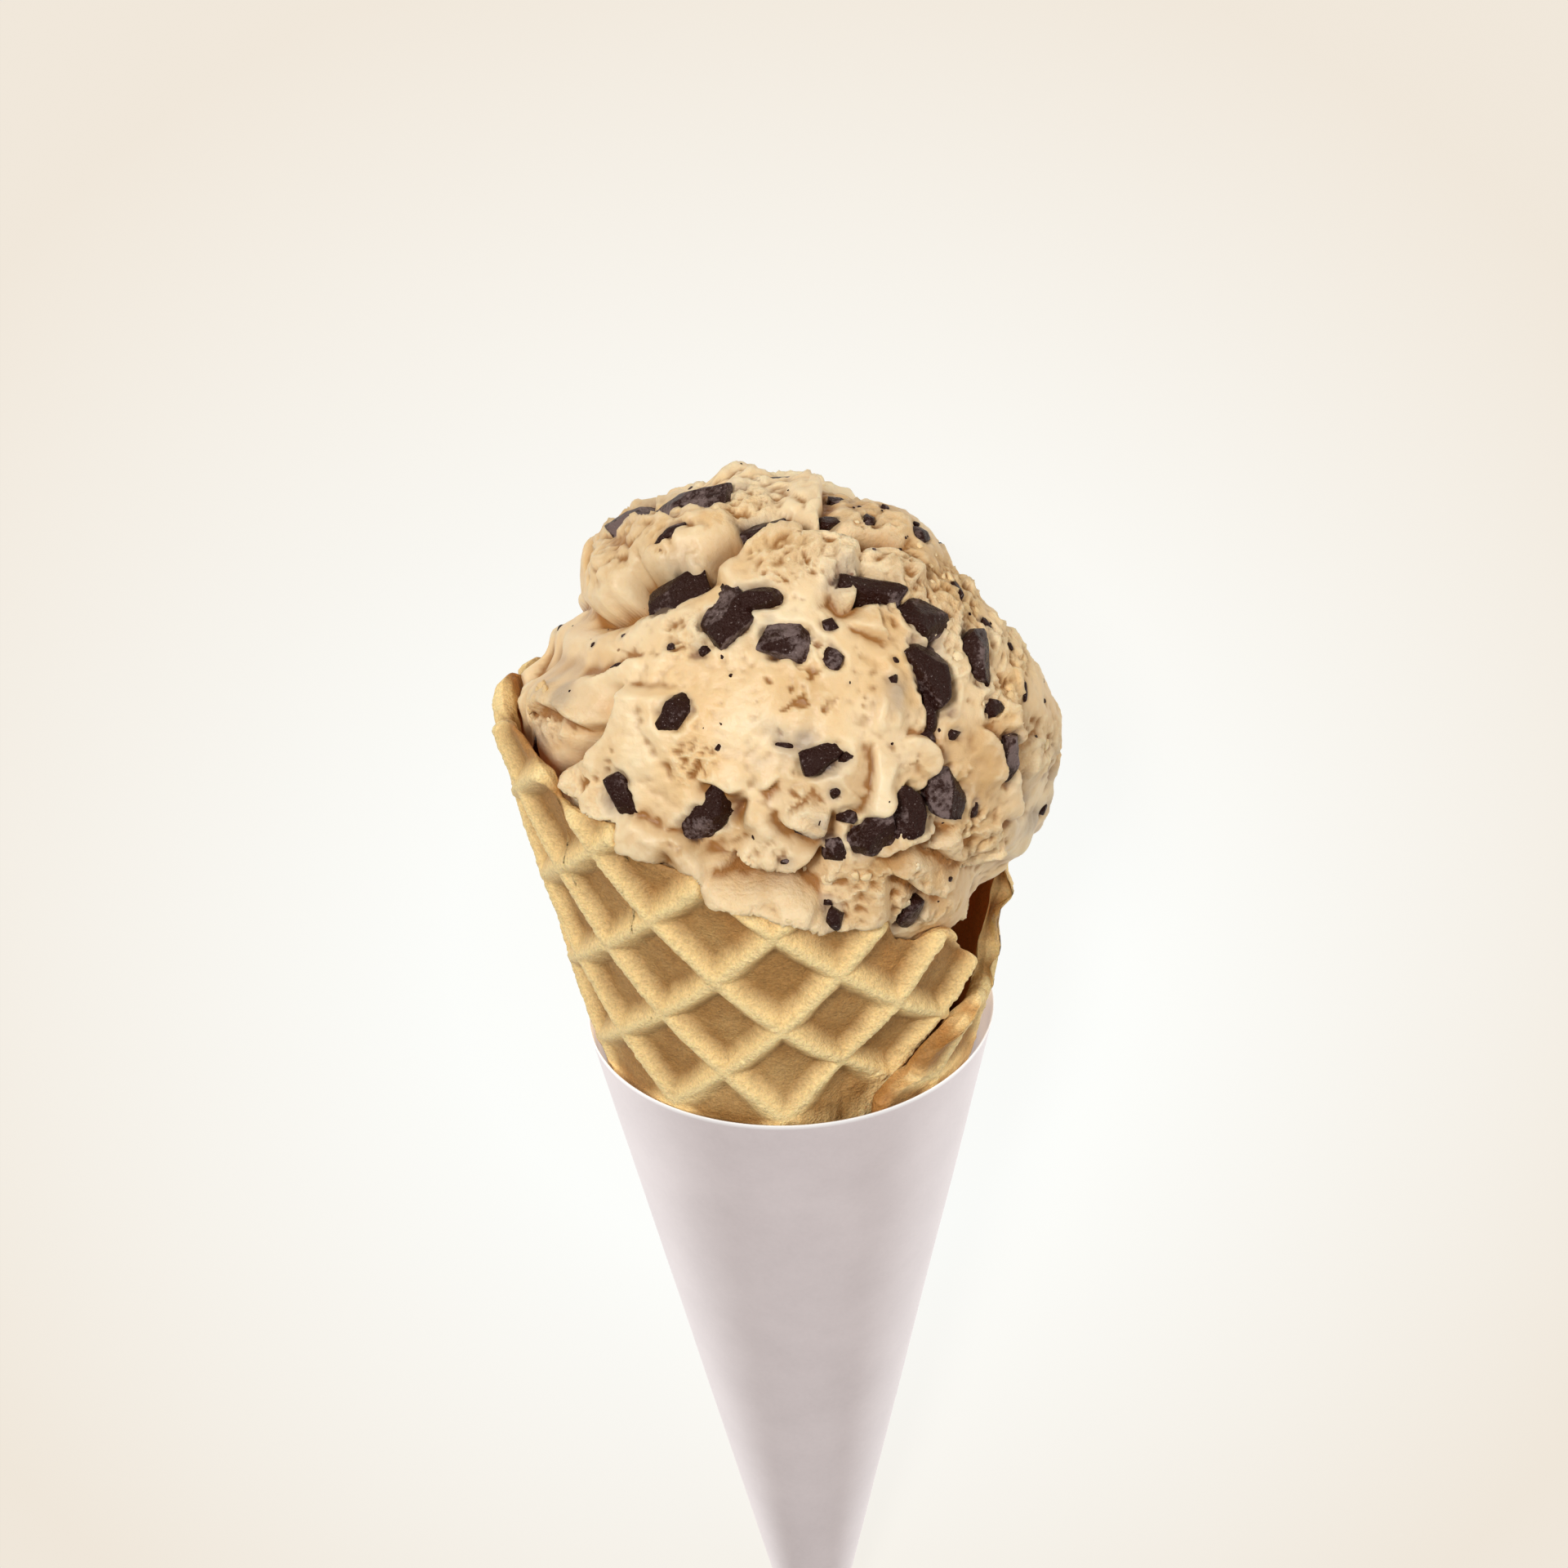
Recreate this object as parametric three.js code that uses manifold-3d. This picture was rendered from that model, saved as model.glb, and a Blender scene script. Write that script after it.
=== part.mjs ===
// Rolled waffle cone in a paper sleeve, with one scoop of chocolate chunk ice cream.
// Millimetres. The pieces are built on the cone's axis, with the point of the ridged surface at the
// origin, the opening towards +Z and the shown side towards -Y. The whole is then laid on its back.
import * as THREE from 'three';
import { mergeVertices } from 'three/addons/utils/BufferGeometryUtils.js';
import Module from 'manifold-3d';

const wasm = await Module();
wasm.setup();

const DEG = Math.PI / 180;
const GAP = 0.35; // air between pieces that touch

// The cone on which the ridge tops lie
const HALF_ANGLE = 11.9 * DEG;
const SIN = Math.sin(HALF_ANGLE);
const COS = Math.cos(HALF_ANGLE);
const TAN = Math.tan(HALF_ANGLE);

// Waffle sheet
const SHEET_THICK = 2.6;
const RIDGE_HEIGHT = 1.5;
const RIDGE_PITCH = 10.5;
const RIDGE_TOP = 0.09; // half width of a ridge's top, in pitches
const RIDGE_FOOT = 0.22; // half width of its foot
const RIDGE_TURN = 43.7 * DEG; // from the slant line at the front
const RIDGE_SHIFT = [2.98, -0.3]; // of the two families of ridges from the point
const SHEET_LOW = 119; // slant at which the ridged sheet meets the plain point
const NET_REACH = 18; // ridges on either side of the point's
const CUT_KEPT = 0.06; // least share of a net line that a cut leaves
const ROLL_FIRST = -34; // azimuth at which the roll's inner end is farthest round

// Plain point of the cone, inside the sleeve: outer and inner face
const POINT_TOP = 121;
const POINT_WALL = [-1.3, -3.6]; // offset from the ridge tops
const POINT_RING = [11, 21]; // slant of the lowest ring
const POINT_END = [9, 20]; // height of the end point

// Outline of the rolled sheet: [azimuth along the roll in degrees, slant of the rim]
const RIM = [
  [-401, 129], [-391.5, 131.3], [-378, 130.5], [-367, 136.2], [-360, 144], [-330, 145.5],
  [-300, 147], [-270, 149], [-240, 157], [-215, 163.8], [-204.3, 166.2], [-199, 165.8],
  [-188, 168.4], [-176, 165.4], [-158, 169.9], [-145, 167.9], [-141.8, 163.9], [-127, 163.2],
  [-124.5, 160], [-109.4, 158.5], [-106, 155], [-90.7, 153.1], [-83.4, 151.3], [-69.3, 149.9],
  [-65, 148], [-63, 145.7], [-57.4, 144.6], [-49.6, 144.6], [-46, 143.8], [-40.4, 140.3], [-34, 137.2],
];
// Ends of the roll: [slant, azimuth]
const INNER_END = [[122, -47], [127.5, -42], [130.2, -38], [134.3, -37], [137.2, -34]];
const OUTER_END = [[118, -427], [122.6, -425], [123.5, -416], [126.6, -413.4], [128, -408], [129, -401]];
// Roll: [azimuth, offset of the ridge tops from the cone]; the outer end laps over the inner one
const ROLL = [[-405, -0.3], [-395, -0.5], [-373, -0.8], [-335, 0], [-95, 0], [-74, -3.05], [-34, -3.3]];
const LAP_INNER = [[-95, 0], [-74, 1]];
const LAP_OUTER = [[-395, 1], [-373, 0]];
const LAP_LIFT = 2.2; // how far the lap springs open towards the rim
const LAP_SLANTS = [121, 137];

// Paper sleeve
const SLEEVE_INNER = 0.12; // inner face, outside the ridge tops
const PAPER_THICK = 0.4;
const SLEEVE_RIM = 122.2;
const SLEEVE_RIM_TILT = [0.28, 0.8];
const SLEEVE_RING = [3, 6]; // slant of the lowest ring of the outer and the inner face
const SLEEVE_END = [1.6, 5]; // height of their end points
const SLEEVE_SIDES = 48;
const FLOOR_OFFSET = SLEEVE_INNER + PAPER_THICK - 0.1; // the back is pressed flat by this much

// Ice cream
const SCOOP_MIDDLE = new THREE.Vector3(1, 1, 158);
const SCOOP_RADIUS = 31;
const FACE_TILT = 26.6 * DEG; // the shown face looks this much above level
const FILL_END = 22; // the fill ends bluntly this far above the point
const CREAM_COLUMNS = 42;
const CREAM_STEP = 6.5; // degrees between rings on the scoop
const PLUG_ANGLES = [-68, -76, -81, -85];
const POINT_CLEARED = 6; // above the plain point, the fill still keeps clear of its wall
const RIM_LOOK = [-9, -4, 0, 4, 9]; // turns at which the rim's height is looked at
const RIM_CLEARED = 3.4; // the cream spreads out from this far above the rim
const RIM_SPREAD = 1.6; // by this much for each millimetre
// Lumps and hollows of the scoop: right and up on its face, spread, height, side (1 shown, -1 back)
const LUMPS = [
  { right: 22.7, up: 21.1, spread: 11, out: -3.2, side: 1 }, // flattened shoulder
  { right: -19, up: 24.4, spread: 6, out: 2.6, side: 1 }, // cap that stands out at the left
  { right: -3.8, up: 30.5, spread: 5, out: 1.6, side: 1 },
  { right: -27.9, up: 13.6, spread: 5, out: -2, side: 1 },
  { right: 30.8, up: -2.7, spread: 8, out: 1.6, side: 1 },
  { right: -17, up: 15.5, spread: 3.2, out: -2.6, side: 1 }, // fold under the cap
  { right: -11, up: 17.2, spread: 3.2, out: -2.4, side: 1 },
  { right: -4, up: 19.5, spread: 3.2, out: -1.8, side: 1 },
  { right: 3, up: 21.5, spread: 3.2, out: -1.6, side: 1 },
  { right: -21, up: 2.2, spread: 3.5, out: -2, side: 1 }, // fold behind the left lobe
  { right: -23.5, up: -2.8, spread: 3, out: -1.6, side: 1 },
  { right: -27, up: 1.5, spread: 4, out: 1.2, side: 1 }, // left lobe
  { right: 7.5, up: -6, spread: 3.5, out: 1.1, side: 1 }, // curls
  { right: 10.5, up: 2, spread: 3, out: 1.1, side: 1 },
  { right: -7, up: -12, spread: 3.5, out: -1, side: 1 },
  { right: -4, up: -20.5, spread: 4, out: 1.3, side: 1 }, // skirt over the rim
  { right: 0, up: 10, spread: 13, out: 4.6, side: -1 }, // swelling that the scoop lies on
  { right: 17, up: 19, spread: 8, out: 1.5, side: -1 },
  { right: -18, up: 17, spread: 8, out: 1.8, side: -1 },
];

// Chocolate chunks: right and up on the face, length, width, depth, turn in degrees, side
const CHUNKS = [
  { right: -9.9, up: 26.4, size: [9, 4.6, 4], turn: -6, side: 1 },
  { right: -16.9, up: 24.6, size: [6.4, 4.6, 4], turn: 20, side: 1 },
  { right: -12.9, up: 16.3, size: [8.2, 5, 4.4], turn: 24, side: 1 },
  { right: -2, up: 23, size: [5.2, 3.4, 3.4], turn: -10, side: 1 },
  { right: -2.8, up: 14.4, size: [5.2, 2.6, 3], turn: 8, side: 1 },
  { right: -6.4, up: 11.8, size: [5.2, 4.6, 4.2], turn: 40, side: 1 },
  { right: 0.2, up: 9.6, size: [5.4, 4.2, 4.2], turn: -8, side: 1 },
  { right: 9.4, up: 15.2, size: [7.4, 3.8, 4], turn: -12, side: 1 },
  { right: 15.4, up: 11.6, size: [6.2, 4, 4], turn: -46, side: 1 },
  { right: 16.2, up: 5.4, size: [8, 4.6, 4.4], turn: -68, side: 1 },
  { right: 21.3, up: 7.6, size: [6, 3.4, 4], turn: -80, side: 1 },
  { right: -9.8, up: -10, size: [6.4, 3.2, 3.6], turn: 34, side: 1 },
  { right: 8.8, up: -12, size: [5.6, 4.2, 4.2], turn: 30, side: 1 },
  { right: 13, up: -9.5, size: [4.4, 4.9, 4.1], turn: 12, side: 1 },
  { right: 17.2, up: -8, size: [5.2, 4.8, 4.4], turn: -20, side: 1 },
  { right: 3.4, up: -3.5, size: [4.6, 3, 3.4], turn: 18, side: 1 },
  { right: 24.5, up: -4.2, size: [5.4, 2.8, 3.6], turn: 76, side: 1 },
  { right: -18.4, up: -6.3, size: [5, 2.8, 3.4], turn: -72, side: 1 },
  { right: -13, up: 21, size: [7.6, 5, 4.2], turn: 15, side: -1 },
  { right: 14, up: 13, size: [8, 4.6, 4.2], turn: -35, side: -1 },
  { right: -23, up: 17, size: [6, 4.4, 4], turn: 65, side: -1 },
  { right: 4, up: 26, size: [6.6, 4, 4], turn: -15, side: -1 },
];
const CHUNK_SUNK = 0.25; // share of its depth that a chunk's middle lies under the surface
const CHUNK_FULL = 0.93; // a chunk's corners, as a share of half its size
const CHUNK_SQUARED = 0.6; // 0 for a round chunk, 1 for a square one
const CORNER_UNEVEN = 0.2; // share by which corners lie nearer or farther
const CORNER_PHASE = [5.3, 2.1]; // from corner to corner and from chunk to chunk
const POCKET_GROWTH = 1.5; // margins for one gap, so that the flat sides are clear too

/** Value at x on a table of [x, value] pairs in rising order, by straight lines. */
function along(table, x) {
  if (x <= table[0][0]) return table[0][1];
  for (let i = 1; i < table.length; i++) {
    const [x0, y0] = table[i - 1];
    const [x1, y1] = table[i];
    if (x <= x1) return y0 + ((y1 - y0) * (x - x0)) / (x1 - x0);
  }
  return table[table.length - 1][1];
}

/** Point at a slant from the cone's point, an azimuth in degrees and an offset outwards. */
function onCone(slant, azimuth, offset) {
  const c = Math.cos(azimuth * DEG);
  const s = Math.sin(azimuth * DEG);
  const radius = slant * SIN + offset * COS;
  return new THREE.Vector3(radius * c, radius * s, slant * COS - offset * SIN);
}

/** Offset of the rolled sheet's ridge tops from the cone. */
function rollOffset(azimuth, slant) {
  const lap = Math.max(along(LAP_INNER, azimuth), along(LAP_OUTER, azimuth));
  return along(ROLL, azimuth) + LAP_LIFT * lap * THREE.MathUtils.smoothstep(slant, ...LAP_SLANTS);
}

/** Keeps a point on or above the surface that the cone lies on. */
function restedOnFloor(p) {
  const depth = p.y * COS - p.z * SIN - FLOOR_OFFSET;
  if (depth <= 0) return p;
  return new THREE.Vector3(p.x, p.y - depth * COS, p.z + depth * SIN);
}

/** Geometry from points and triangles, turned right side out. */
function solid(points, triangles) {
  let volume = 0;
  const side = new THREE.Vector3();
  for (const [a, b, c] of triangles) {
    volume += side.crossVectors(points[b], points[c]).dot(points[a]);
  }
  const order = volume > 0 ? triangles : triangles.map(([a, b, c]) => [a, c, b]);
  const geometry = new THREE.BufferGeometry();
  geometry.setFromPoints(points);
  geometry.setIndex(order.flat());
  return geometry;
}

/** Closed body of rings with equally many points, from one end point to the other. */
function ringBody(first, rings, last) {
  const columns = rings[0].length;
  const points = [first, ...rings.flat(), last];
  const at = (ring, column) => 1 + ring * columns + (column % columns);
  const triangles = [];
  for (let c = 0; c < columns; c++) {
    triangles.push([0, at(0, c + 1), at(0, c)]);
    for (let r = 0; r + 1 < rings.length; r++) {
      triangles.push([at(r, c), at(r, c + 1), at(r + 1, c + 1)]);
      triangles.push([at(r, c), at(r + 1, c + 1), at(r + 1, c)]);
    }
    triangles.push([points.length - 1, at(rings.length - 1, c), at(rings.length - 1, c + 1)]);
  }
  return solid(points, triangles);
}

function toManifold(geometry) {
  const bare = geometry.clone();
  bare.deleteAttribute('normal');
  bare.deleteAttribute('uv');
  const merged = mergeVertices(bare);
  const vertProperties = new Float32Array(merged.attributes.position.array);
  const triVerts = new Uint32Array(merged.index.array);
  return new wasm.Manifold(new wasm.Mesh({ numProp: 3, vertProperties, triVerts }));
}

function toGeometry(manifold) {
  const mesh = manifold.getMesh();
  const geometry = new THREE.BufferGeometry();
  geometry.setAttribute('position', new THREE.BufferAttribute(mesh.vertProperties, 3));
  geometry.setIndex(new THREE.BufferAttribute(mesh.triVerts, 1));
  return geometry;
}

// ---- Waffle sheet ----

/** Slant and azimuth of a point of the flat sheet, given in ridge steps. */
function rolled(a, b) {
  const u = a * RIDGE_PITCH + RIDGE_SHIFT[0];
  const w = b * RIDGE_PITCH + RIDGE_SHIFT[1];
  const x = u * Math.cos(RIDGE_TURN) - w * Math.sin(RIDGE_TURN);
  const y = u * Math.sin(RIDGE_TURN) + w * Math.cos(RIDGE_TURN);
  return { slant: Math.hypot(x, y), azimuth: -90 + Math.atan2(y, x) / SIN / DEG };
}

/** Distance inside the sheet's outline in mm, negative outside. */
function insideSheet(a, b) {
  const { slant, azimuth } = rolled(a, b);
  const mmPerDegree = slant * SIN * DEG;
  return Math.min(
    along(RIM, azimuth) - slant,
    slant - SHEET_LOW,
    (along(INNER_END, slant) - azimuth) * mmPerDegree,
    (azimuth - along(OUTER_END, slant)) * mmPerDegree,
  );
}

/** Depth below the ridge tops of the sheet's outer face. */
function ridgeDepth(a, b) {
  const rise = (t) => {
    const away = Math.abs(t - Math.round(t));
    return THREE.MathUtils.clamp((RIDGE_FOOT - away) / (RIDGE_FOOT - RIDGE_TOP), 0, 1);
  };
  return RIDGE_HEIGHT * (1 - Math.max(rise(a), rise(b)));
}

/** Share of the way from a place inside the outline to one outside at which they part. */
function crossing(from, to) {
  let low = 0;
  let high = 1;
  for (let halving = 0; halving < 18; halving++) {
    const middle = (low + high) / 2;
    const a = from[0] + (to[0] - from[0]) * middle;
    const b = from[1] + (to[1] - from[1]) * middle;
    if (insideSheet(a, b) > 0) low = middle;
    else high = middle;
  }
  return THREE.MathUtils.clamp(low, CUT_KEPT, 1 - CUT_KEPT);
}

/** The ridged sheet, rolled: a net along both families of ridges, cut off at the outline. */
function rolledSheet() {
  const lines = [];
  for (let ridge = -NET_REACH; ridge <= NET_REACH; ridge++) {
    for (const part of [-RIDGE_FOOT, -RIDGE_TOP, RIDGE_TOP, RIDGE_FOOT]) lines.push(ridge + part);
  }
  const places = [];
  const known = new Map();
  const place = (key, a, b) => {
    if (!known.has(key)) known.set(key, places.push([a, b]) - 1);
    return known.get(key);
  };
  const inside = lines.map((a) => lines.map((b) => insideSheet(a, b) > 0));
  const cells = [];
  for (let i = 0; i + 1 < lines.length; i++) {
    for (let j = 0; j + 1 < lines.length; j++) {
      const corners = [[i, j], [i + 1, j], [i + 1, j + 1], [i, j + 1]];
      const cell = [];
      corners.forEach((here, k) => {
        const next = corners[(k + 1) % 4];
        const [isIn, nextIn] = [inside[here[0]][here[1]], inside[next[0]][next[1]]];
        if (isIn) cell.push(place(here.join(), lines[here[0]], lines[here[1]]));
        if (isIn === nextIn) return;
        const ends = isIn ? [here, next] : [next, here];
        const [from, to] = ends.map(([m, n]) => [lines[m], lines[n]]);
        const share = crossing(from, to);
        const key = ends.map((end) => end.join()).join('|');
        const [a, b] = [0, 1].map((axis) => from[axis] + (to[axis] - from[axis]) * share);
        cell.push(place(key, a, b));
      });
      if (cell.length > 2) cells.push(cell);
    }
  }

  const depths = places.map(([a, b]) => ridgeDepth(a, b));
  const face = (depthOf) => places.map(([a, b], k) => {
    const { slant, azimuth } = rolled(a, b);
    return onCone(slant, azimuth, rollOffset(azimuth, slant) - depthOf(k));
  });
  const points = [...face((k) => depths[k]), ...face(() => SHEET_THICK)];
  const under = places.length;
  const triangles = [];
  const edges = new Set();
  for (const cell of cells) {
    // a cell is split from its deepest corner, so that the ridges' flanks meet in a mitre
    const deepest = cell.reduce((best, k, i) => (depths[k] > depths[cell[best]] ? i : best), 0);
    const fan = [...cell.slice(deepest), ...cell.slice(0, deepest)];
    for (let k = 1; k + 1 < fan.length; k++) {
      triangles.push([fan[0], fan[k], fan[k + 1]]);
      triangles.push([under + fan[0], under + fan[k + 1], under + fan[k]]);
    }
    fan.forEach((k, i) => edges.add(`${k},${fan[(i + 1) % fan.length]}`));
  }
  for (const edge of edges) {
    const [from, to] = edge.split(',').map(Number);
    if (edges.has(`${to},${from}`)) continue;
    triangles.push([to, from, under + from], [to, under + from, under + to]);
  }
  return solid(points, triangles);
}

/** The plain closed point of the cone, inside the sleeve. */
function conePoint() {
  const [outer, inner] = POINT_WALL;
  const ring = (slant, offset) => circle((azimuth) => onCone(slant, azimuth, offset));
  const rings = [
    ring(POINT_RING[0], outer),
    ring(POINT_TOP, outer),
    ring(POINT_TOP, inner),
    ring(POINT_RING[1], inner),
  ];
  const [outerEnd, innerEnd] = POINT_END.map((height) => new THREE.Vector3(0, 0, height));
  return ringBody(outerEnd, rings, innerEnd);
}

/** Ring of points, one for each side, from a function of the azimuth in degrees. */
function circle(pointAt, sides = SLEEVE_SIDES) {
  return Array.from({ length: sides }, (_, i) => pointAt(((i + 0.5) * 360) / sides));
}

function waffleCone() {
  return toGeometry(toManifold(rolledSheet()).add(toManifold(conePoint())));
}

// ---- Paper sleeve ----

function paperSleeve() {
  const outer = SLEEVE_INNER + PAPER_THICK;
  const rim = (azimuth) => {
    const [right, back] = SLEEVE_RIM_TILT;
    return SLEEVE_RIM + right * Math.cos(azimuth * DEG) + back * Math.sin(azimuth * DEG);
  };
  const ring = (slantAt, offset, pressed) =>
    circle((azimuth) => {
      const p = onCone(slantAt(azimuth), azimuth, offset);
      return pressed ? restedOnFloor(p) : p;
    });
  const rings = [
    ring(() => SLEEVE_RING[0], outer, true),
    ring(() => SLEEVE_RIM / 2, outer, true),
    ring(rim, outer, true),
    ring(rim, SLEEVE_INNER, false),
    ring(() => SLEEVE_RIM / 2, SLEEVE_INNER, false),
    ring(() => SLEEVE_RING[1], SLEEVE_INNER, false),
  ];
  const [outerEnd, innerEnd] = SLEEVE_END.map((height) => new THREE.Vector3(0, 0, height));
  return ringBody(outerEnd, rings, innerEnd);
}

// ---- Ice cream ----

/** Unit direction from the scoop's middle to a place given right and up on its face. */
function towards({ right, up, side }) {
  const out = side * Math.sqrt(Math.max(0, SCOOP_RADIUS ** 2 - right ** 2 - up ** 2));
  const direction = new THREE.Vector3(
    right,
    up * Math.sin(FACE_TILT) - out * Math.cos(FACE_TILT),
    up * Math.cos(FACE_TILT) + out * Math.sin(FACE_TILT),
  );
  return direction.normalize();
}

const LUMP_DIRECTIONS = LUMPS.map(towards);

/** Radius of the free scoop: a ball with its lumps and hollows. */
function freeRadius(direction) {
  let radius = SCOOP_RADIUS;
  LUMPS.forEach(({ spread, out }, i) => {
    const away = direction.distanceTo(LUMP_DIRECTIONS[i]) * SCOOP_RADIUS;
    radius += out * Math.exp(-((away / spread) ** 2));
  });
  return radius;
}

/** Distance from the scoop's middle to a cone offset from the ridge tops. */
function distanceToCone(direction, offset) {
  const { x, y, z } = SCOOP_MIDDLE;
  const height = z + offset / SIN;
  const a = direction.x ** 2 + direction.y ** 2 - (TAN * direction.z) ** 2;
  const b = 2 * (x * direction.x + y * direction.y - TAN ** 2 * height * direction.z);
  const c = x ** 2 + y ** 2 - (TAN * height) ** 2;
  const root = Math.sqrt(Math.max(0, b * b - 4 * a * c));
  const distance = (2 * c) / (-b - root);
  return distance > 0 ? distance : Infinity;
}

/** Radius of the ice cream: the scoop, held in by the waffle's inner face below the rim. */
function creamRadius(direction) {
  const free = freeRadius(direction);
  let offset = -SHEET_THICK - GAP;
  let wall = distanceToCone(direction, offset);
  let aboveRim = Infinity;
  for (let i = 0; i < 4 && Number.isFinite(wall); i++) {
    const p = direction.clone().multiplyScalar(wall).add(SCOOP_MIDDLE);
    const slant = p.z / COS;
    const azimuth = Math.atan2(p.y, p.x) / DEG;
    const roll = azimuth > ROLL_FIRST ? azimuth - 360 : azimuth;
    const face = rollOffset(roll, slant) - SHEET_THICK;
    offset = (slant < POINT_TOP + POINT_CLEARED ? Math.min(face, POINT_WALL[1]) : face) - GAP;
    wall = distanceToCone(direction, offset);
    const rims = RIM_LOOK.map((turn) => along(RIM, Math.min(ROLL_FIRST, roll + turn)));
    aboveRim = slant - Math.max(...rims);
  }
  const spread = Math.max(0, aboveRim - RIM_CLEARED) * RIM_SPREAD;
  return Math.min(free, wall + spread);
}

function iceCream() {
  const angles = [];
  const lowest = PLUG_ANGLES[0] + CREAM_STEP;
  for (let angle = 90 - CREAM_STEP; angle > lowest; angle -= CREAM_STEP) angles.push(angle);
  angles.push(...PLUG_ANGLES);
  const rings = angles.map((angle) => circle((azimuth) => {
    const level = Math.cos(angle * DEG);
    const direction = new THREE.Vector3(
      level * Math.cos(azimuth * DEG),
      level * Math.sin(azimuth * DEG),
      Math.sin(angle * DEG),
    );
    return restedOnFloor(direction.clone().multiplyScalar(creamRadius(direction)).add(SCOOP_MIDDLE));
  }, CREAM_COLUMNS));
  const top = new THREE.Vector3(0, 0, freeRadius(new THREE.Vector3(0, 0, 1))).add(SCOOP_MIDDLE);
  const body = toManifold(ringBody(top, rings, new THREE.Vector3(0, 0, FILL_END)));
  const pockets = CHUNKS.map((chunk, i) => toManifold(chunkBody(chunk, i, GAP)));
  return toGeometry(pockets.reduce((cream, pocket) => cream.subtract(pocket), body));
}

// ---- Chocolate chunks ----

/** One broken piece of chocolate, in its place, grown by a margin on every side. */
function chunkBody({ right, up, size, turn, side }, number, margin = 0) {
  const geometry = new THREE.IcosahedronGeometry(1, 0);
  geometry.deleteAttribute('normal');
  geometry.deleteAttribute('uv');
  const shape = mergeVertices(geometry);
  const corners = shape.attributes.position;
  for (let i = 0; i < corners.count; i++) {
    const uneven = 1 + CORNER_UNEVEN * Math.sin(CORNER_PHASE[0] * i + CORNER_PHASE[1] * number);
    const corner = [corners.getX(i), corners.getY(i), corners.getZ(i)];
    const toCube = 1 / Math.max(...corner.map(Math.abs));
    const reach = (1 + CHUNK_SQUARED * (toCube - 1)) * uneven * CHUNK_FULL;
    const halves = size.map((whole) => whole / 2 + margin * POCKET_GROWTH);
    corners.setXYZ(i, ...corner.map((part, axis) => part * reach * halves[axis]));
  }
  const out = towards({ right, up, side });
  const level = new THREE.Vector3(1, 0, 0).projectOnPlane(out).normalize();
  const upward = new THREE.Vector3().crossVectors(out, level);
  const frame = new THREE.Matrix4().makeBasis(level, upward, out);
  shape.applyMatrix4(new THREE.Matrix4().makeRotationZ(turn * DEG));
  shape.applyMatrix4(frame);
  const radius = creamRadius(out) - CHUNK_SUNK * size[2];
  const middle = out.clone().multiplyScalar(radius).add(SCOOP_MIDDLE);
  shape.translate(middle.x, middle.y, middle.z);
  return shape;
}

// ---- Assembly ----

const waffle = new THREE.MeshStandardMaterial({ color: '#cda261', roughness: 0.75, metalness: 0 });
const paper = new THREE.MeshStandardMaterial({ color: '#eeebe9', roughness: 0.85, metalness: 0 });
const cream = new THREE.MeshStandardMaterial({ color: '#ecd3a6', roughness: 0.5, metalness: 0 });
const chocolate = new THREE.MeshStandardMaterial({ color: '#35201f', roughness: 0.4, metalness: 0 });

const pieces = new THREE.Group();

function addPiece(name, geometry, material) {
  const mesh = new THREE.Mesh(geometry, material);
  mesh.name = name;
  pieces.add(mesh);
}

addPiece('waffle_cone', waffleCone(), waffle);
addPiece('paper_sleeve', paperSleeve(), paper);
addPiece('ice_cream', iceCream(), cream);
CHUNKS.forEach((chunk, i) => {
  addPiece(`chocolate_chunk_${String(i + 1).padStart(2, '0')}`, chunkBody(chunk, i), chocolate);
});

// Laid on its back, the point towards -Y, with the origin at the middle of the box's base.
pieces.rotation.x = -(Math.PI / 2 - HALF_ANGLE);
const laid = new THREE.Group();
laid.add(pieces);
laid.updateMatrixWorld(true);
const box = new THREE.Box3().setFromObject(laid, true);
laid.position.set(-(box.min.x + box.max.x) / 2, -(box.min.y + box.max.y) / 2, -box.min.z);

export default laid;
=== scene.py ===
"""Rolled waffle cone in a paper sleeve with one scoop of chocolate chunk ice cream, on its back.

Shapes are worked out in millimetres on the cone's own axis: the point of the ridged surface at the
origin, the opening towards +Z and the shown side towards -Y. lay() puts them into the frame.
"""

import math

import bpy
import numpy as np
from bpy.props import FloatProperty, FloatVectorProperty, IntProperty, PointerProperty
from mathutils import Matrix, Vector


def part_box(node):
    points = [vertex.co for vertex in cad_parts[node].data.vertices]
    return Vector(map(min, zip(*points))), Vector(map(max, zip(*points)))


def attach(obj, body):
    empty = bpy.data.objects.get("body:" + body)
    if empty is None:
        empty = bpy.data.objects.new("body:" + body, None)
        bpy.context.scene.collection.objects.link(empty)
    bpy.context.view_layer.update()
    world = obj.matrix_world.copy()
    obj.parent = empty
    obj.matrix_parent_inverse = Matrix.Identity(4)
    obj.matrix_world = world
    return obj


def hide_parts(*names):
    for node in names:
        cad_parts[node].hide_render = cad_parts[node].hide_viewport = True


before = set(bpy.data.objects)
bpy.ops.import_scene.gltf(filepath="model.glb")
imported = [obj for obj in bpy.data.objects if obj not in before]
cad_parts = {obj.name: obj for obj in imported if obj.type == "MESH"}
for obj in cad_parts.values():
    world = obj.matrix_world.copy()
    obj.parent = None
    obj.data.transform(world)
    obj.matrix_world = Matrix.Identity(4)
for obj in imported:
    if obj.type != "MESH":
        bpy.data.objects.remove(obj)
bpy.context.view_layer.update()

bl_info = {
    "name": "Ice cream cone",
    "version": (1, 0, 0),
    "blender": (4, 5, 0),
    "location": "3D View > Sidebar > Ice cream cone",
    "description": "Waffle cone in a paper sleeve with a scoop of chocolate chunk ice cream",
    "category": "Object",
}

MM = 0.001

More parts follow.
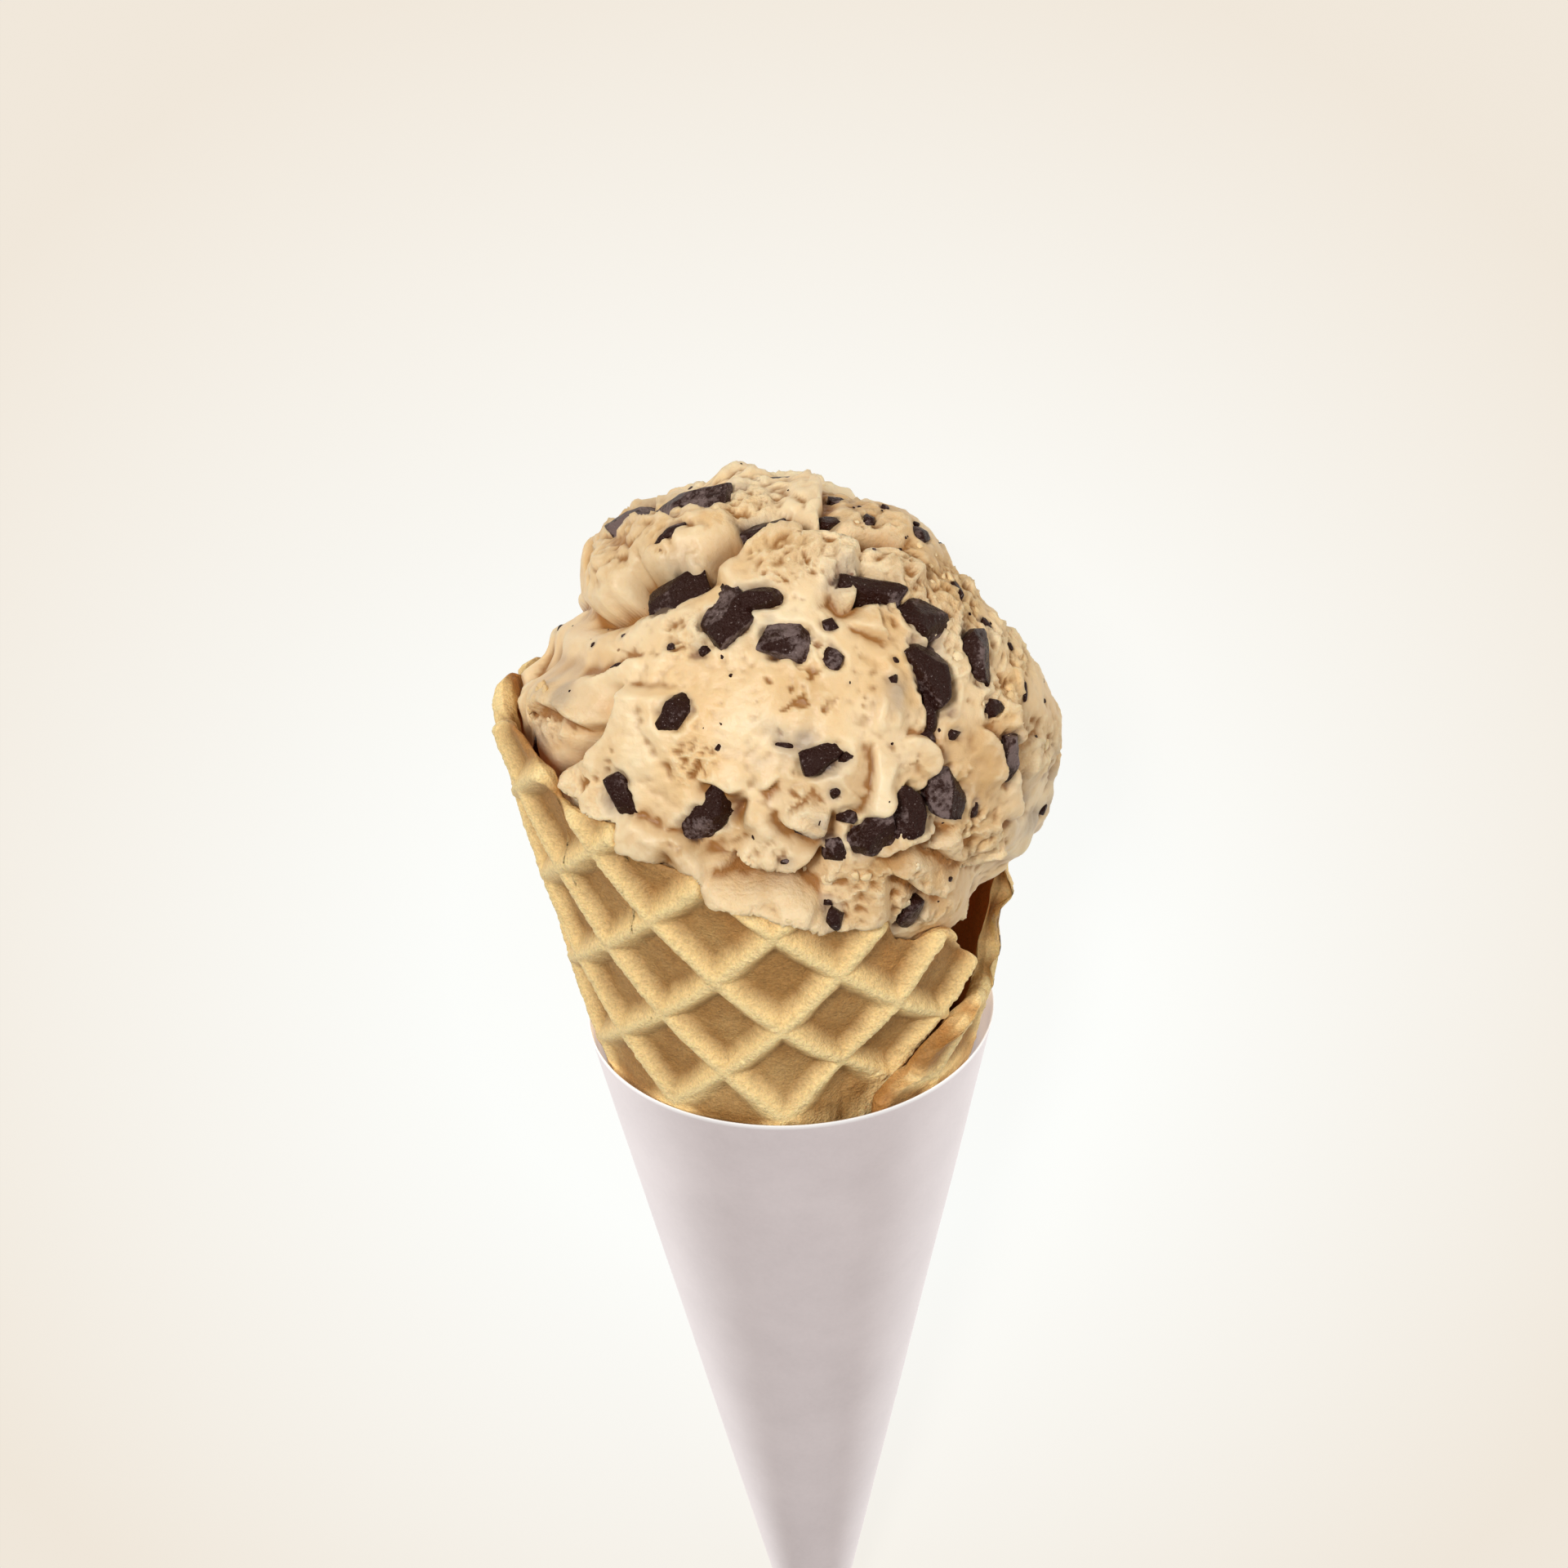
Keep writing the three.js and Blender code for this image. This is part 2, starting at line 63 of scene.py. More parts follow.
# Cone on which the ridge tops of the waffle lie
HALF_ANGLE = math.radians(11.9)
SIN, COS, TAN = math.sin(HALF_ANGLE), math.cos(HALF_ANGLE), math.tan(HALF_ANGLE)
FLOOR_OFFSET = 0.42  # the surface that the cone lies on is this far outside the ridge tops

# Waffle sheet: net of ridges, and outline of the roll as [azimuth, slant] and [slant, azimuth]
RIDGE_PITCH = 10.5
RIDGE_TURN = math.radians(43.7)
RIDGE_SHIFT = (2.98, -0.3)
SHEET_LOW = 112.0  # slant of the sheet's foot, inside the sleeve
RIDGE_TOP, RIDGE_FOOT = 0.03, 0.225  # half widths of a ridge, in ridge steps
RIM = np.array([
    (-401, 129), (-391.5, 131.3), (-384, 130.2), (-378, 130.5), (-372, 133), (-367, 136.2),
    (-363.5, 140.5), (-360, 144), (-330, 145.5), (-300, 147), (-270, 149), (-240, 157), (-215, 163.8),
    (-204.3, 166.2), (-199, 165.8), (-194, 166.6), (-188, 168.4), (-184.5, 167.7), (-181, 166.2),
    (-176, 165.4), (-170, 166.8), (-164, 168.6), (-158, 169.9), (-152, 169), (-145, 167.9), (-143, 167.2),
    (-142, 164.2), (-139, 163.4), (-127, 163.2), (-125.5, 162.6), (-124.5, 160), (-112, 158.4),
    (-108, 158.1), (-106, 155), (-98, 153.7), (-90.7, 153.1), (-83.4, 151.3), (-69.3, 149.9), (-66, 149),
    (-65, 148), (-63, 145.7), (-57.4, 144.6), (-49.6, 144.6), (-46, 143.8), (-43, 141.4), (-40.4, 140.3),
    (-38, 138.8), (-34, 137.2),
])
INNER_END = np.array([(122, -47), (127.5, -42), (130.2, -38), (134.3, -37), (137.2, -34)])
OUTER_END = np.array([
    (118, -427), (121.4, -426), (123.2, -421), (123.5, -416), (126.6, -413.4), (127.8, -411), (128, -408),
    (129, -401),
])
# Offset of the ridge tops along the roll, and where the lap springs open, by azimuth
ROLL = np.array([(-405, -0.3), (-395, -0.5), (-373, -0.8), (-335, 0), (-95, 0), (-74, -3.05), (-34, -3.3)])
LAP_INNER = np.array([(-95, 0), (-74, 1)])
LAP_OUTER = np.array([(-395, 1), (-373, 0)])
LAP_LIFT = 2.2
LAP_SLANTS = (121, 137)
SHEET_ROWS = 120  # even rows of the sheet
FINE_ROWS = 20  # the last of them; below these its inner face has a third of the rows
RIM_ROWS = 9
RIM_RADIUS = 1.3
SHEET_FACE = 2.6  # depth of the sheet's inner face under its ridge tops
POINT_TOP = 114.0  # slant where the plain point inside the sleeve ends
POINT_WALL = -3.6  # offset of its inside

# Paper sleeve
SLEEVE_OUTER = 0.42
SLEEVE_RIM = 122.2
SLEEVE_RIM_TILT = (0.28, 0.8)
SLEEVE_TIP = 1.6

# Scoop, and the axes of its shown face: right, up and out
SCOOP_MIDDLE = np.array([1.0, 1.0, 158.0])
SCOOP_RADIUS = 31.0
SCOOP_CELLS = 126  # cells along each side of the six grids that make the scoop
FACE_TILT = math.radians(26.6)
FACE = np.array([
    (1, 0, 0),
    (0, math.sin(FACE_TILT), math.cos(FACE_TILT)),
    (0, -math.cos(FACE_TILT), math.sin(FACE_TILT)),
])
FILL_END = 22.0  # height of the blunt lower end of the ice cream
CREAM_GAP = 0.3  # between the ice cream and the waffle

DOWN = np.array([0, COS, -SIN])  # towards the floor

# Lumps and hollows: right, up, spread, out, side (1 shown, -1 back)
LUMPS = (
    (22.7, 21.1, 11, -3.2, 1), (27.5, 14.5, 7, -3, 1), (10.6, 29, 5.5, -4.4, 1), (1.5, 31, 5, -0.9, 1),
    (-11.6, 28.7, 4, -1.4, 1), (-19, 24.4, 6, 1.8, 1), (-5.6, 30.4, 4.5, 2.3, 1), (30.8, -2.7, 8, 1.1, 1),
    (26.8, -15.5, 5, 1, 1), (-17, 15.5, 3.2, -2.2, 1), (-11, 17.2, 3.2, -2, 1), (-4, 19.5, 3.2, -1.2, 1),
    (-21, 2.2, 3.5, -1.6, 1), (-23.5, -2.8, 3, -1.6, 1), (-27, 1.5, 4, 1.2, 1), (-24.5, -9, 4, 1.6, 1),
    (-19, -12.5, 4, 0.9, 1), (7.5, -6, 3.5, 1.1, 1), (10.5, 2, 3, 0.8, 1), (-7, -12, 3.5, -0.8, 1),
    (-4, -20.5, 4, 1.3, 1), (0, 10, 13, 4.6, -1), (17, 19, 8, 1.5, -1), (-18, 17, 8, 1.8, -1),
)

# Bulges and dents of the outline: angle round the face, width in degrees, out
OUTLINE = (
    (22, 8, -0.5), (32, 6, -1.1), (43, 5, -0.9), (70, 9, -1.2), (90, 7, -0.7), (107, 4, -1.2),
    (130, 5, -1.4), (148, 7, -3.4), (161, 6, -2.2), (171, 4, 0.7), (-17, 8, -0.4), (-41, 7, -2.4),
)

# Folds of the shown face: which side of the line is raised (1 left, -1 right), rise, depth of the
# crevice, fade of the rise, and the line's points, right and up
FOLDS = (
    (1, 1.8, 1.7, 7, ((-24.7, 16.6), (-22.1, 15.2), (-20.1, 15.1), (-18, 16.2), (-16.8, 17.8),
        (-15.5, 18.5), (-12.2, 18.3), (-9.7, 18), (-8.4, 19), (-5.7, 21), (-3.8, 21.8))),  # cap
    (-1, 1.3, 1.6, 5, ((-8.4, 17.7), (-6.3, 19.5), (-4.7, 20.7), (-2.4, 21.5), (1.9, 22.4), (2.2, 21.2),
        (4.2, 21), (6.6, 20.3), (8.4, 19.5), (9.3, 18.5))),  # top of the front lobe
    (1, 1.2, 1.2, 3, ((4.4, 16), (5.4, 14.7), (6.5, 13.5), (7.5, 13.7), (7.9, 15), (7.9, 16.7), (9.1, 18))),
    (-1, 1, 1.3, 4, ((2.9, 30), (4.4, 28.3), (4.7, 25.8), (4.4, 22.9), (3.4, 21.6))),
    (1, 1, 1.1, 4, ((4.5, 21.5), (6.7, 22), (9.5, 22.3), (11.8, 21.4), (13.1, 19.7))),
    (-1, 0.8, 0.9, 3.5, ((8, 19.7), (10.5, 20.3), (12.4, 19.9), (15, 17.9), (16, 16.8), (16.4, 15.6))),
    (1, 0.7, 0.6, 2.5, ((6.2, 11.8), (7.8, 11.2), (9.5, 10.5), (11.2, 9.8), (11.7, 10.7))),
    (1, 0.6, 0.5, 3, ((9.9, -1.6), (9.4, -3.3), (9.1, -5.6), (8.2, -8.7), (7.8, -10.6))),  # finger
    (1, 0.8, 0.6, 2.5, ((8.4, -10.9), (10.3, -9.4), (11.3, -7.9), (11.3, -6.4))),
    (-1, 0.7, 0.5, 3, ((11.7, -1.7), (15.3, -1.6), (16.3, -3), (16.6, -4.3), (16, -5.7), (15, -6.5))),
    (1, 1, 1, 3, ((-1.1, -8.3), (-1.1, -9.6), (1, -10.8), (2.3, -11.8), (3.3, -11.2), (4.7, -8.5))),
    (1, 0.8, 0.8, 2.5, ((-11, -5.2), (-8.8, -6), (-6.9, -6.7), (-4.6, -6.6))),
    (1, 0.6, 0.6, 2, ((-4.3, -6.6), (-2.7, -6.1), (-1.5, -5.3), (-0.6, -4.8))),
    (1, 1.2, 2, 4, ((-4.4, -7.5), (-5, -9), (-6, -11.1))),  # notch
    (-1, 0.6, 0.5, 2.2, ((-17.7, -8.4), (-15.4, -10.1), (-12, -12), (-9.2, -13.5), (-6.1, -15.1))),
    (1, 1, 1.9, 3, ((-6.8, -13.1), (-5.2, -14.2), (-3.4, -15.2), (-0.1, -15.7), (1.6, -14.3),
        (3.3, -12.7))),
    (-1, 1.3, 0.9, 3, ((-10, -15.6), (-5.7, -16.3), (-0.5, -17), (1.5, -18.2), (2.8, -19.2))),  # skirt
    (1, 1.9, 2.2, 6, ((-17.7, 5.6), (-17.9, 3.7), (-18.6, 1.8), (-20.8, -0.9), (-22.1, -2.6), (-23.9, -3.2),
        (-25.2, -4.6), (-24.3, -5.9), (-22.7, -6.9), (-20, -9.9), (-18.3, -12.5), (-15, -15.2))),
    (-1, 0.5, 0.5, 3, ((-24.6, 6.3), (-21.9, 7.3), (-20.1, 7.6), (-18.7, 7.3), (-17.3, 8.3), (-14.8, 8.7))),
    (1, 1, 0.6, 3.5, ((-29.5, 3), (-27.4, 3.5), (-25.3, 3.4), (-22.9, 1.2), (-21, 1.5), (-19.3, 2))),
    (-1, 0.6, 0.8, 3, ((20.6, -0.6), (22.1, -1.3), (23, -2.8), (23.3, -4.9), (24.1, -7.3))),
    (-1, 1, 1.2, 4, ((26.1, 2.9), (25.4, 0.1), (26.4, -1.8), (25.3, -3.6), (25.6, -7.2), (26.1, -9.8),
        (25.4, -12.1))),
    (1, 0.9, 1.1, 3, ((8.3, -14.8), (10.2, -13.9), (12.5, -13.3), (13.9, -12.6), (15.3, -11.7),
        (15.5, -10.2))),
    (1, 0.9, 0.9, 3, ((15.3, -12.1), (15.5, -14), (16.8, -14.2), (17.8, -15.9), (20.4, -15.1))),
    (1, 1, 1, 3, ((10.2, -16.4), (12.5, -17), (14.6, -19.1), (16.4, -19.8), (20.5, -17.5), (25.4, -15.2))),
    (-1, 0.6, 0.6, 3, ((-21.4, 23.8), (-18.3, 24.1), (-14.6, 23.7), (-10.9, 22.6), (-8.4, 23.6),
        (-6.5, 24.5))),
)
# Curls: thin raised lines, and troughs where negative: height, half width, points
CURLS = (
    (0.6, 0.6, ((10, 4.4), (10.1, 2.4), (9.8, 0.2), (10.1, -1.6))),
    (-0.45, 1.5, ((8.6, 9.2), (9.5, 6), (8.6, 0.7), (8.8, -2.4), (7.2, -7.3))),
    (0.5, 0.7, ((11.7, -3.4), (10.5, -5.6), (9.7, -8.7), (8.4, -10.3))),
    (0.35, 0.7, ((7, 10.6), (9.6, 8.7), (11.3, 5.5), (12.1, 2.4), (11.7, -1.2))),
)
# Torn patches: right, up, reach
TORN = (
    (10, 18.5, 7), (16, 14, 6), (21, 9, 5), (1, 19.5, 5.5), (-11, 10.5, 3), (-10.5, -3, 3),
    (-22.5, -6.5, 3.5), (-26.5, 2.5, 4), (-4, -18.5, 7), (14, -17.5, 7), (21, -14.5, 5), (1.5, -9.5, 3.2),
    (-4, 25, 4), (4, -19, 5), (27.5, -3, 4.5), (24, 3, 4), (27, 9, 5), (22, 17, 5),
)
PITTED = (1.8, 3.9, 4.0)  # a patch of small torn holes: right, up, reach
SMOOTH_SLOPE = (-24.5, 9.5, 6)  # the smooth slope at the left edge: right, up, reach
SWIRL = (-7.0, 3.0)  # middle of the arcs that the scoop drew on the front lobe
# Where melted chocolate greys the cream: right, up, reach
SMUDGES = (
    (-25.4, 5.6, 3), (-28.7, -0.1, 2.2), (-1.5, -2, 2.6), (1.6, -1.5, 1.8), (12.1, 3.4, 2),
    (24.5, -3.1, 1.8), (31.3, -5.9, 3), (28.6, -11.1, 3), (-9.2, 8.6, 1.5), (-0.6, 11.3, 1.6),
)
# Denser, browner cream, and painted shade in crevices and on the lower and right parts: right, up, reach,
# share
TAN_AND_SHADE = (
    (-17, 22, 8, 0.5), (-25, 15, 4, 0.2), (11, 27.5, 6, 0.75), (28, -1, 6, 0.3), (19, -7, 8, 0.6),
    (12, -20, 9, 0.6), (-12.9, -13.4, 4.5, 0.65), (1, -13, 5, 0.5), (17, 16, 8, 0.6), (2, -7, 4, 0.45),
    (-20, 2.5, 2.5, 0.35), (17, 2, 6, 0.35), (6, 17, 4, 0.2), (7.2, -6.4, 2.2, 0.6),
    (-12.3, -15.3, 3.5, 0.75), (10.6, -15.7, 3.4, 0.95), (20.5, -4, 5, 0.6), (18.9, -12.8, 5, 0.6),
    (20, 8, 5, 0.35), (1.8, 3.9, 2.5, 0.4), (-5.7, -9.7, 1.6, 1), (-3, -15.4, 1.8, 1), (9, 24, 6, 0.5),
    (0.7, 20.1, 4, 0.5), (13, 17.9, 3, 0.5),
)
# Cream that spills over the rim: how far, between which azimuths
SPILL = (3.0, -113, -72)

# Chocolate chunks: right, up, length, width, depth, turn, side
CHUNKS = (
    (-9.9, 26.4, 9, 4.6, 4, -6, 1), (-16.9, 24.6, 6.4, 4.6, 4, 20, 1), (-12.9, 16.3, 8.2, 5, 4.4, 24, 1),
    (-2, 23, 5.2, 3.4, 3.4, -10, 1), (-2.8, 14.4, 5.2, 2.6, 3, 8, 1), (-6.4, 11.8, 5.2, 4.6, 4.2, 40, 1),
    (0.2, 9.6, 5.4, 4.2, 4.2, -8, 1), (9.4, 15.2, 7.4, 3.8, 4, -12, 1), (15.4, 11.6, 6.2, 4, 4, -46, 1),
    (16.2, 5.4, 8, 4.6, 4.4, -68, 1), (21.3, 7.6, 6, 3.4, 4, -80, 1), (-9.8, -10, 6.4, 3.2, 3.6, 34, 1),
    (8.8, -12, 5.6, 4.2, 4.2, 30, 1), (13, -9.5, 4.4, 4.9, 4.1, 12, 1), (17.2, -8, 5.2, 4.8, 4.4, -20, 1),
    (3.4, -3.5, 4.6, 3, 3.4, 18, 1), (24.5, -4.2, 5.4, 2.8, 3.6, 76, 1),
    (-18.4, -6.3, 5, 2.8, 3.4, -72, 1), (-13, 21, 7.6, 5, 4.2, 15, -1), (14, 13, 8, 4.6, 4.2, -35, -1),
    (-23, 17, 6, 4.4, 4, 65, -1), (4, 26, 6.6, 4, 4, -15, -1),
)
CHUNK_SUNK = 0.25  # share of its depth by which a chunk's middle is under the surface
CHIP_DEPTH = 0.8  # share of a chip's width
# How far frost has settled on each chunk
FROSTED = (
    0.28, 0.32, 0, 0, 0, 0.04, 0.1, 0.03, 0.12, 0.04, 0.1, 0.02, 0.06, 0.06, 0.1, 0.04, 0.16, 0,
    0.1, 0.1, 0, 0.1,
)
# How far each chunk stands out more than the rest, in mm
RAISED = (0, 0, 0.3, 0.3, 0.2, 0, 0, 0, 0.2, 0, 0.2, 0, 0, 0.3, 0, 0, 0.3, 0, 0, 0, 0, 0)
# Smaller chips of the shown face: right, up, length, width, turn
CHIPS = (
    (-12.1, 2.1, 3.7, 2.5, 60), (15.9, 1.2, 4.5, 1.5, -80), (4, -20.1, 2.6, 1.9, 80),
    (13.2, -21.9, 4.4, 3.6, 60), (5.6, 23.7, 3, 2, 10), (26.8, -10, 2.2, 1.9, 0), (29, -10.5, 1.5, 1.3, 0),
    (-22.4, -1.2, 4.8, 1.9, 24), (4.9, 7.6, 2.7, 2.1, -60), (-23.9, -7.1, 3, 1.5, -10),
    (-28.8, -0.9, 2.2, 1.4, 80), (-11.1, 21.4, 3, 1.3, 8), (-7.4, 19.3, 2.4, 1.8, 40),
    (4.8, 11.3, 1.6, 1.4, 20), (1.4, 29.7, 4.4, 1.2, 0), (7, 27.1, 2.4, 1.5, -10),
    (10.1, 23.5, 1.4, 1.4, 0), (16.2, 22.2, 2.6, 2, -30), (20.4, 15.2, 1.9, 1.1, -60),
    (23.7, 11.1, 1.8, 1.2, -60), (-9, 8.8, 1.4, 1, 30), (-12.6, 9.4, 0.9, 0.7, 0),
    (11.5, 4.8, 0.9, 0.9, 0), (12.1, 7, 0.9, 0.6, -60), (22.7, 1.5, 2, 2, 40), (15.6, -1.4, 1.5, 1.3, 0),
    (18.4, -1.5, 1.7, 1.2, 0), (-0.5, -1.9, 2.2, 0.6, -10), (5.9, -3.4, 1.3, 1, 30),
    (4.7, -7, 1.1, 1.1, 0), (6.3, -9.9, 1.9, 1.5, -30), (4.8, -13.8, 3, 1.9, -80),
    (1.4, -11.3, 2.8, 0.9, -20), (-1, -14.2, 1.1, 0.7, 0), (-3.4, -15.9, 4.6, 0.7, -22),
    (-15.4, -14.2, 1.6, 0.9, -30), (20.4, -9.9, 1.9, 1, 80), (22.8, -12.9, 1, 0.8, 0),
    (27.4, 3.1, 2, 0.7, 85), (29.6, 2, 0.8, 0.7, 0), (30.2, -8, 2, 1.2, 70), (27.3, -7, 1.6, 0.6, 80),
    (-21.7, 24.1, 1, 0.7, 0), (-23, 10.9, 0.6, 0.5, 0), (-18.8, 11.5, 0.6, 0.5, 0),
    (3.4, 29.4, 1.6, 0.7, -10), (9.2, 19.5, 0.7, 0.6, 0), (10.1, 19.4, 0.7, 0.6, 0),
    (-19.6, 7.6, 2.2, 0.6, 20), (3.4, -18.9, 1, 0.7, 0), (26.5, 8.7, 0.9, 0.6, 0), (12.3, 25.2, 1, 0.8, 0),
    (-7.8, -1.8, 0.8, 0.6, 50), (3, -9.9, 0.8, 0.7, 0),
)


# ---- Common tools ----


def linear(hex_colour):
    """An sRGB hex colour as linear red, green and blue."""
    parts = [int(hex_colour[i : i + 2], 16) / 255 for i in (1, 3, 5)]
    return [p / 12.92 if p <= 0.04045 else ((p + 0.055) / 1.055) ** 2.4 for p in parts]


def lay(points):
    """Points of the cone's own frame, in mm, laid on the cone's back in the frame, in metres.

    A turn of 90 degrees less the half angle about X, and then a shift that is read off the sleeve.
    """
    low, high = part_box("paper_sleeve")
    x, y, z = points[..., 0], points[..., 1], points[..., 2]
    shift = ((low.x + high.x) / 2 / MM, low.y / MM - SLEEVE_TIP * COS, FLOOR_OFFSET)
    row = (x + shift[0], y * SIN + z * COS + shift[1], -y * COS + z * SIN + shift[2])
    return np.stack(row, -1) * MM


def turned(direction):
    """A direction of the cone's own frame, turned as lay() turns points."""
    ends = lay(np.array([direction, (0, 0, 0)], float))
    return Vector((ends[0] - ends[1]) / MM).normalized()


def unit(vectors):
    """Vectors made 1 long."""
    return vectors / np.linalg.norm(vectors, axis=-1, keepdims=True)


def bell(value):
    """A bell curve: 1 at 0, 0.37 at 1 and -1."""
    return np.exp(-(value**2))


def smooth(value, low=0.0, high=1.0):
    """0 below low, 1 above high, and an S-shaped step between."""
    t = np.clip((value - low) / (high - low), 0, 1)
    return t * t * (3 - 2 * t)


def hashed(cells, seed):
    """Repeatable numbers from -1 to 1, one for each cell of a cubic net of whole numbers."""
    x, y, z = (cells[..., i].astype(np.int64).astype(np.uint32) for i in range(3))
    mix = x * np.uint32(0x9E3779B1) ^ y * np.uint32(0x85EBCA77) ^ z * np.uint32(0xC2B2AE3D)
    mix ^= np.uint32(seed * 0x27D4EB2F & 0xFFFFFFFF)
    for step, factor in ((15, 0x2C1B3C6D), (12, 0x297A2D39), (15, 0x85EBCA6B)):
        mix ^= mix >> np.uint32(step)
        mix = mix * np.uint32(factor)
    mix ^= mix >> np.uint32(13)
    return mix.astype(np.float64) / 2147483648.0 - 1.0


def noise(points, size, seed=0):
    """Smooth noise from about -1 to 1 with lumps of a size in mm.

    Each corner of a cubic net has a random slope; a point takes the corners' slopes times its
    distance from them, blended by the curve 6t^5 - 15t^4 + 10t^3.
    """
    scaled = points / size
    cell = np.floor(scaled)
    part = scaled - cell
    blend = part**3 * (part * (part * 6 - 15) + 10)
    total = 0
    for corner in np.ndindex(2, 2, 2):
        there = cell + corner
        slope = sum(hashed(there, seed * 3 + k) * (part[..., k] - corner[k]) for k in range(3))
        share = np.prod(np.where(np.array(corner) == 1, blend, 1 - blend), -1)
        total = total + share * slope
    return total * 1.5


def layered(points, size, seed, layers=3):
    """Noise of a size with ever finer and weaker layers on it."""
    return sum(noise(points, size / 2.03**i, seed + 17 * i) / 1.9**i for i in range(layers))


def billows(points, size, seed):
    """Rounded lobes that meet in creases: the absolute value of noise, about 0 on average."""
    return np.abs(noise(points, size, seed)) * 2 - 0.5


def grains(points, size, seed):
    """Nearest and second nearest distance to scattered points, one in each cell of a size, in cells,
    and a random number from -1 to 1 that belongs to the nearest."""
    scaled = points / size
    base = np.floor(scaled)
    near = np.full(scaled.shape[:-1], 9.0)
    second = near.copy()
    own = np.zeros_like(near)
    for offset in np.ndindex(3, 3, 3):
        cell = base + offset - 1
        place = cell + 0.5 + 0.42 * np.stack([hashed(cell, seed + k) for k in range(3)], -1)
        away = np.linalg.norm(scaled - place, axis=-1)
        closer = away < near
        second = np.where(closer, near, np.minimum(second, away))
        own = np.where(closer, hashed(cell, seed + 9), own)
        near = np.where(closer, away, near)
    return near, second, own


def table(pairs, values):
    """Straight lines between the pairs of a table."""
    return np.interp(values, pairs[:, 0], pairs[:, 1])


def on_cone(slant, azimuth, offset):
    """Points at a slant from the cone's point, an azimuth in degrees and an offset outwards."""
    turn = np.radians(azimuth)
    radius = slant * SIN + offset * COS
    return np.stack((radius * np.cos(turn), radius * np.sin(turn), slant * COS - offset * SIN), -1)


def on_floor(points):
    """Points of the cone's own frame with what would be under the floor moved up onto it."""
    depth = np.maximum(points[..., 1] * COS - points[..., 2] * SIN - FLOOR_OFFSET, 0)
    return points - depth[..., None] * DOWN


def grid_faces(rows, columns, first=0, wrapped=False):
    """Four-sided faces of a grid of points, numbered row by row."""
    r, c = np.meshgrid(np.arange(rows - 1), np.arange(columns - (not wrapped)), indexing="ij")
    right = (c + 1) % columns
    corners = (r * columns + c, r * columns + right, (r + 1) * columns + right, (r + 1) * columns + c)
    return first + np.stack(corners, -1).reshape(-1, 4)


def fan_faces(ring, tip, columns, outward):
    """Triangles from a ring of points to its tip."""
    c = np.arange(columns)
    here, right = ring + c, ring + (c + 1) % columns
    order = (right, here) if outward else (here, right)
    return np.stack((*order, np.full(columns, tip)), -1)


def make_piece(name, points, faces, material, replaces=(), attributes=None):
    """A mesh object from points in mm and arrays of faces, riding on the cone's one body.

    Faces are turned as a whole so that the enclosed volume is positive.
    """
    place = lay(points)
    volume = 0
    for part in faces:
        middle = place[part].mean(1)
        edges = place[part[:, 2]] - place[part[:, 0]], place[part[:, -1]] - place[part[:, 1]]
        volume += np.einsum("ij,ij->", middle, np.cross(*edges))
    if volume < 0:
        faces = [part[:, ::-1] for part in faces]
    mesh = bpy.data.meshes.new(name)
    mesh.vertices.add(len(place))
    mesh.vertices.foreach_set("co", place.astype(np.float32).ravel())
    corners = np.concatenate([part.ravel() for part in faces]).astype(np.int32)
    sizes = np.concatenate([np.full(len(part), part.shape[1]) for part in faces])
    mesh.loops.add(len(corners))
    mesh.loops.foreach_set("vertex_index", corners)
    mesh.polygons.add(len(sizes))
    mesh.polygons.foreach_set("loop_start", (np.cumsum(sizes) - sizes).astype(np.int32))
    mesh.polygons.foreach_set("use_smooth", np.ones(len(sizes), bool))
    mesh.update(calc_edges=True)
    if mesh.validate():
        raise RuntimeError(f"{name} has faces that can't be used")
    for key, values in (attributes or {}).items():
        layer = mesh.attributes.new(key, "FLOAT", "POINT")
        layer.data.foreach_set("value", values.astype(np.float32).ravel())
    mesh.materials.append(material)
    piece = bpy.data.objects.new(name, mesh)
    bpy.context.scene.collection.objects.link(piece)
    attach(piece, "root")
    if replaces:
        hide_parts(*replaces)
    return piece


def add(tree, kind, inputs=None, **settings):
    """Adds a shader node with its settings. Inputs are values, sockets to link from, or nodes, which
    are linked from their first output in use."""
    node = tree.nodes.new("ShaderNode" + kind)
    for name, value in settings.items():
        setattr(node, name, value)
    for name, value in (inputs or {}).items():
        if isinstance(value, bpy.types.Node):
            value = next(output for output in value.outputs if output.enabled)
        if isinstance(value, bpy.types.NodeSocket):
            tree.links.new(value, node.inputs[name])
        else:
            node.inputs[name].default_value = value
    return node


def new_material(name):
    """An empty material and its tree."""
    material = bpy.data.materials.new(name)
    material.use_nodes = True
    material.node_tree.nodes.clear()
    return material, material.node_tree


def rgba(colour):
    """A colour with full alpha."""
    return (*colour[:3], 1.0)


# ---- Waffle ----


def roll_offset(azimuth, slant):
    """Offset of the rolled sheet's ridge tops from the cone; the lap springs open towards the rim."""
    lap = np.maximum(table(LAP_INNER, azimuth), table(LAP_OUTER, azimuth))
    return table(ROLL, azimuth) + LAP_LIFT * lap * smooth(slant, *LAP_SLANTS)


def flat_sheet(azimuth, slant):
    """Place on the unrolled sheet in mm, as x, y and 0: a cone unrolls to a sector, turned by azimuth
    times sin."""
    turn = np.radians(azimuth + 90) * SIN
    x, y = slant * np.cos(turn), slant * np.sin(turn)
    return np.stack((x, y, np.zeros_like(x)), -1)


def net_place(flat):
    """The same place counted in ridges of the two crossing families."""
    x, y = flat[..., 0], flat[..., 1]
    u = x * math.cos(RIDGE_TURN) + y * math.sin(RIDGE_TURN)
    w = -x * math.sin(RIDGE_TURN) + y * math.cos(RIDGE_TURN)
    return (u - RIDGE_SHIFT[0]) / RIDGE_PITCH, (w - RIDGE_SHIFT[1]) / RIDGE_PITCH


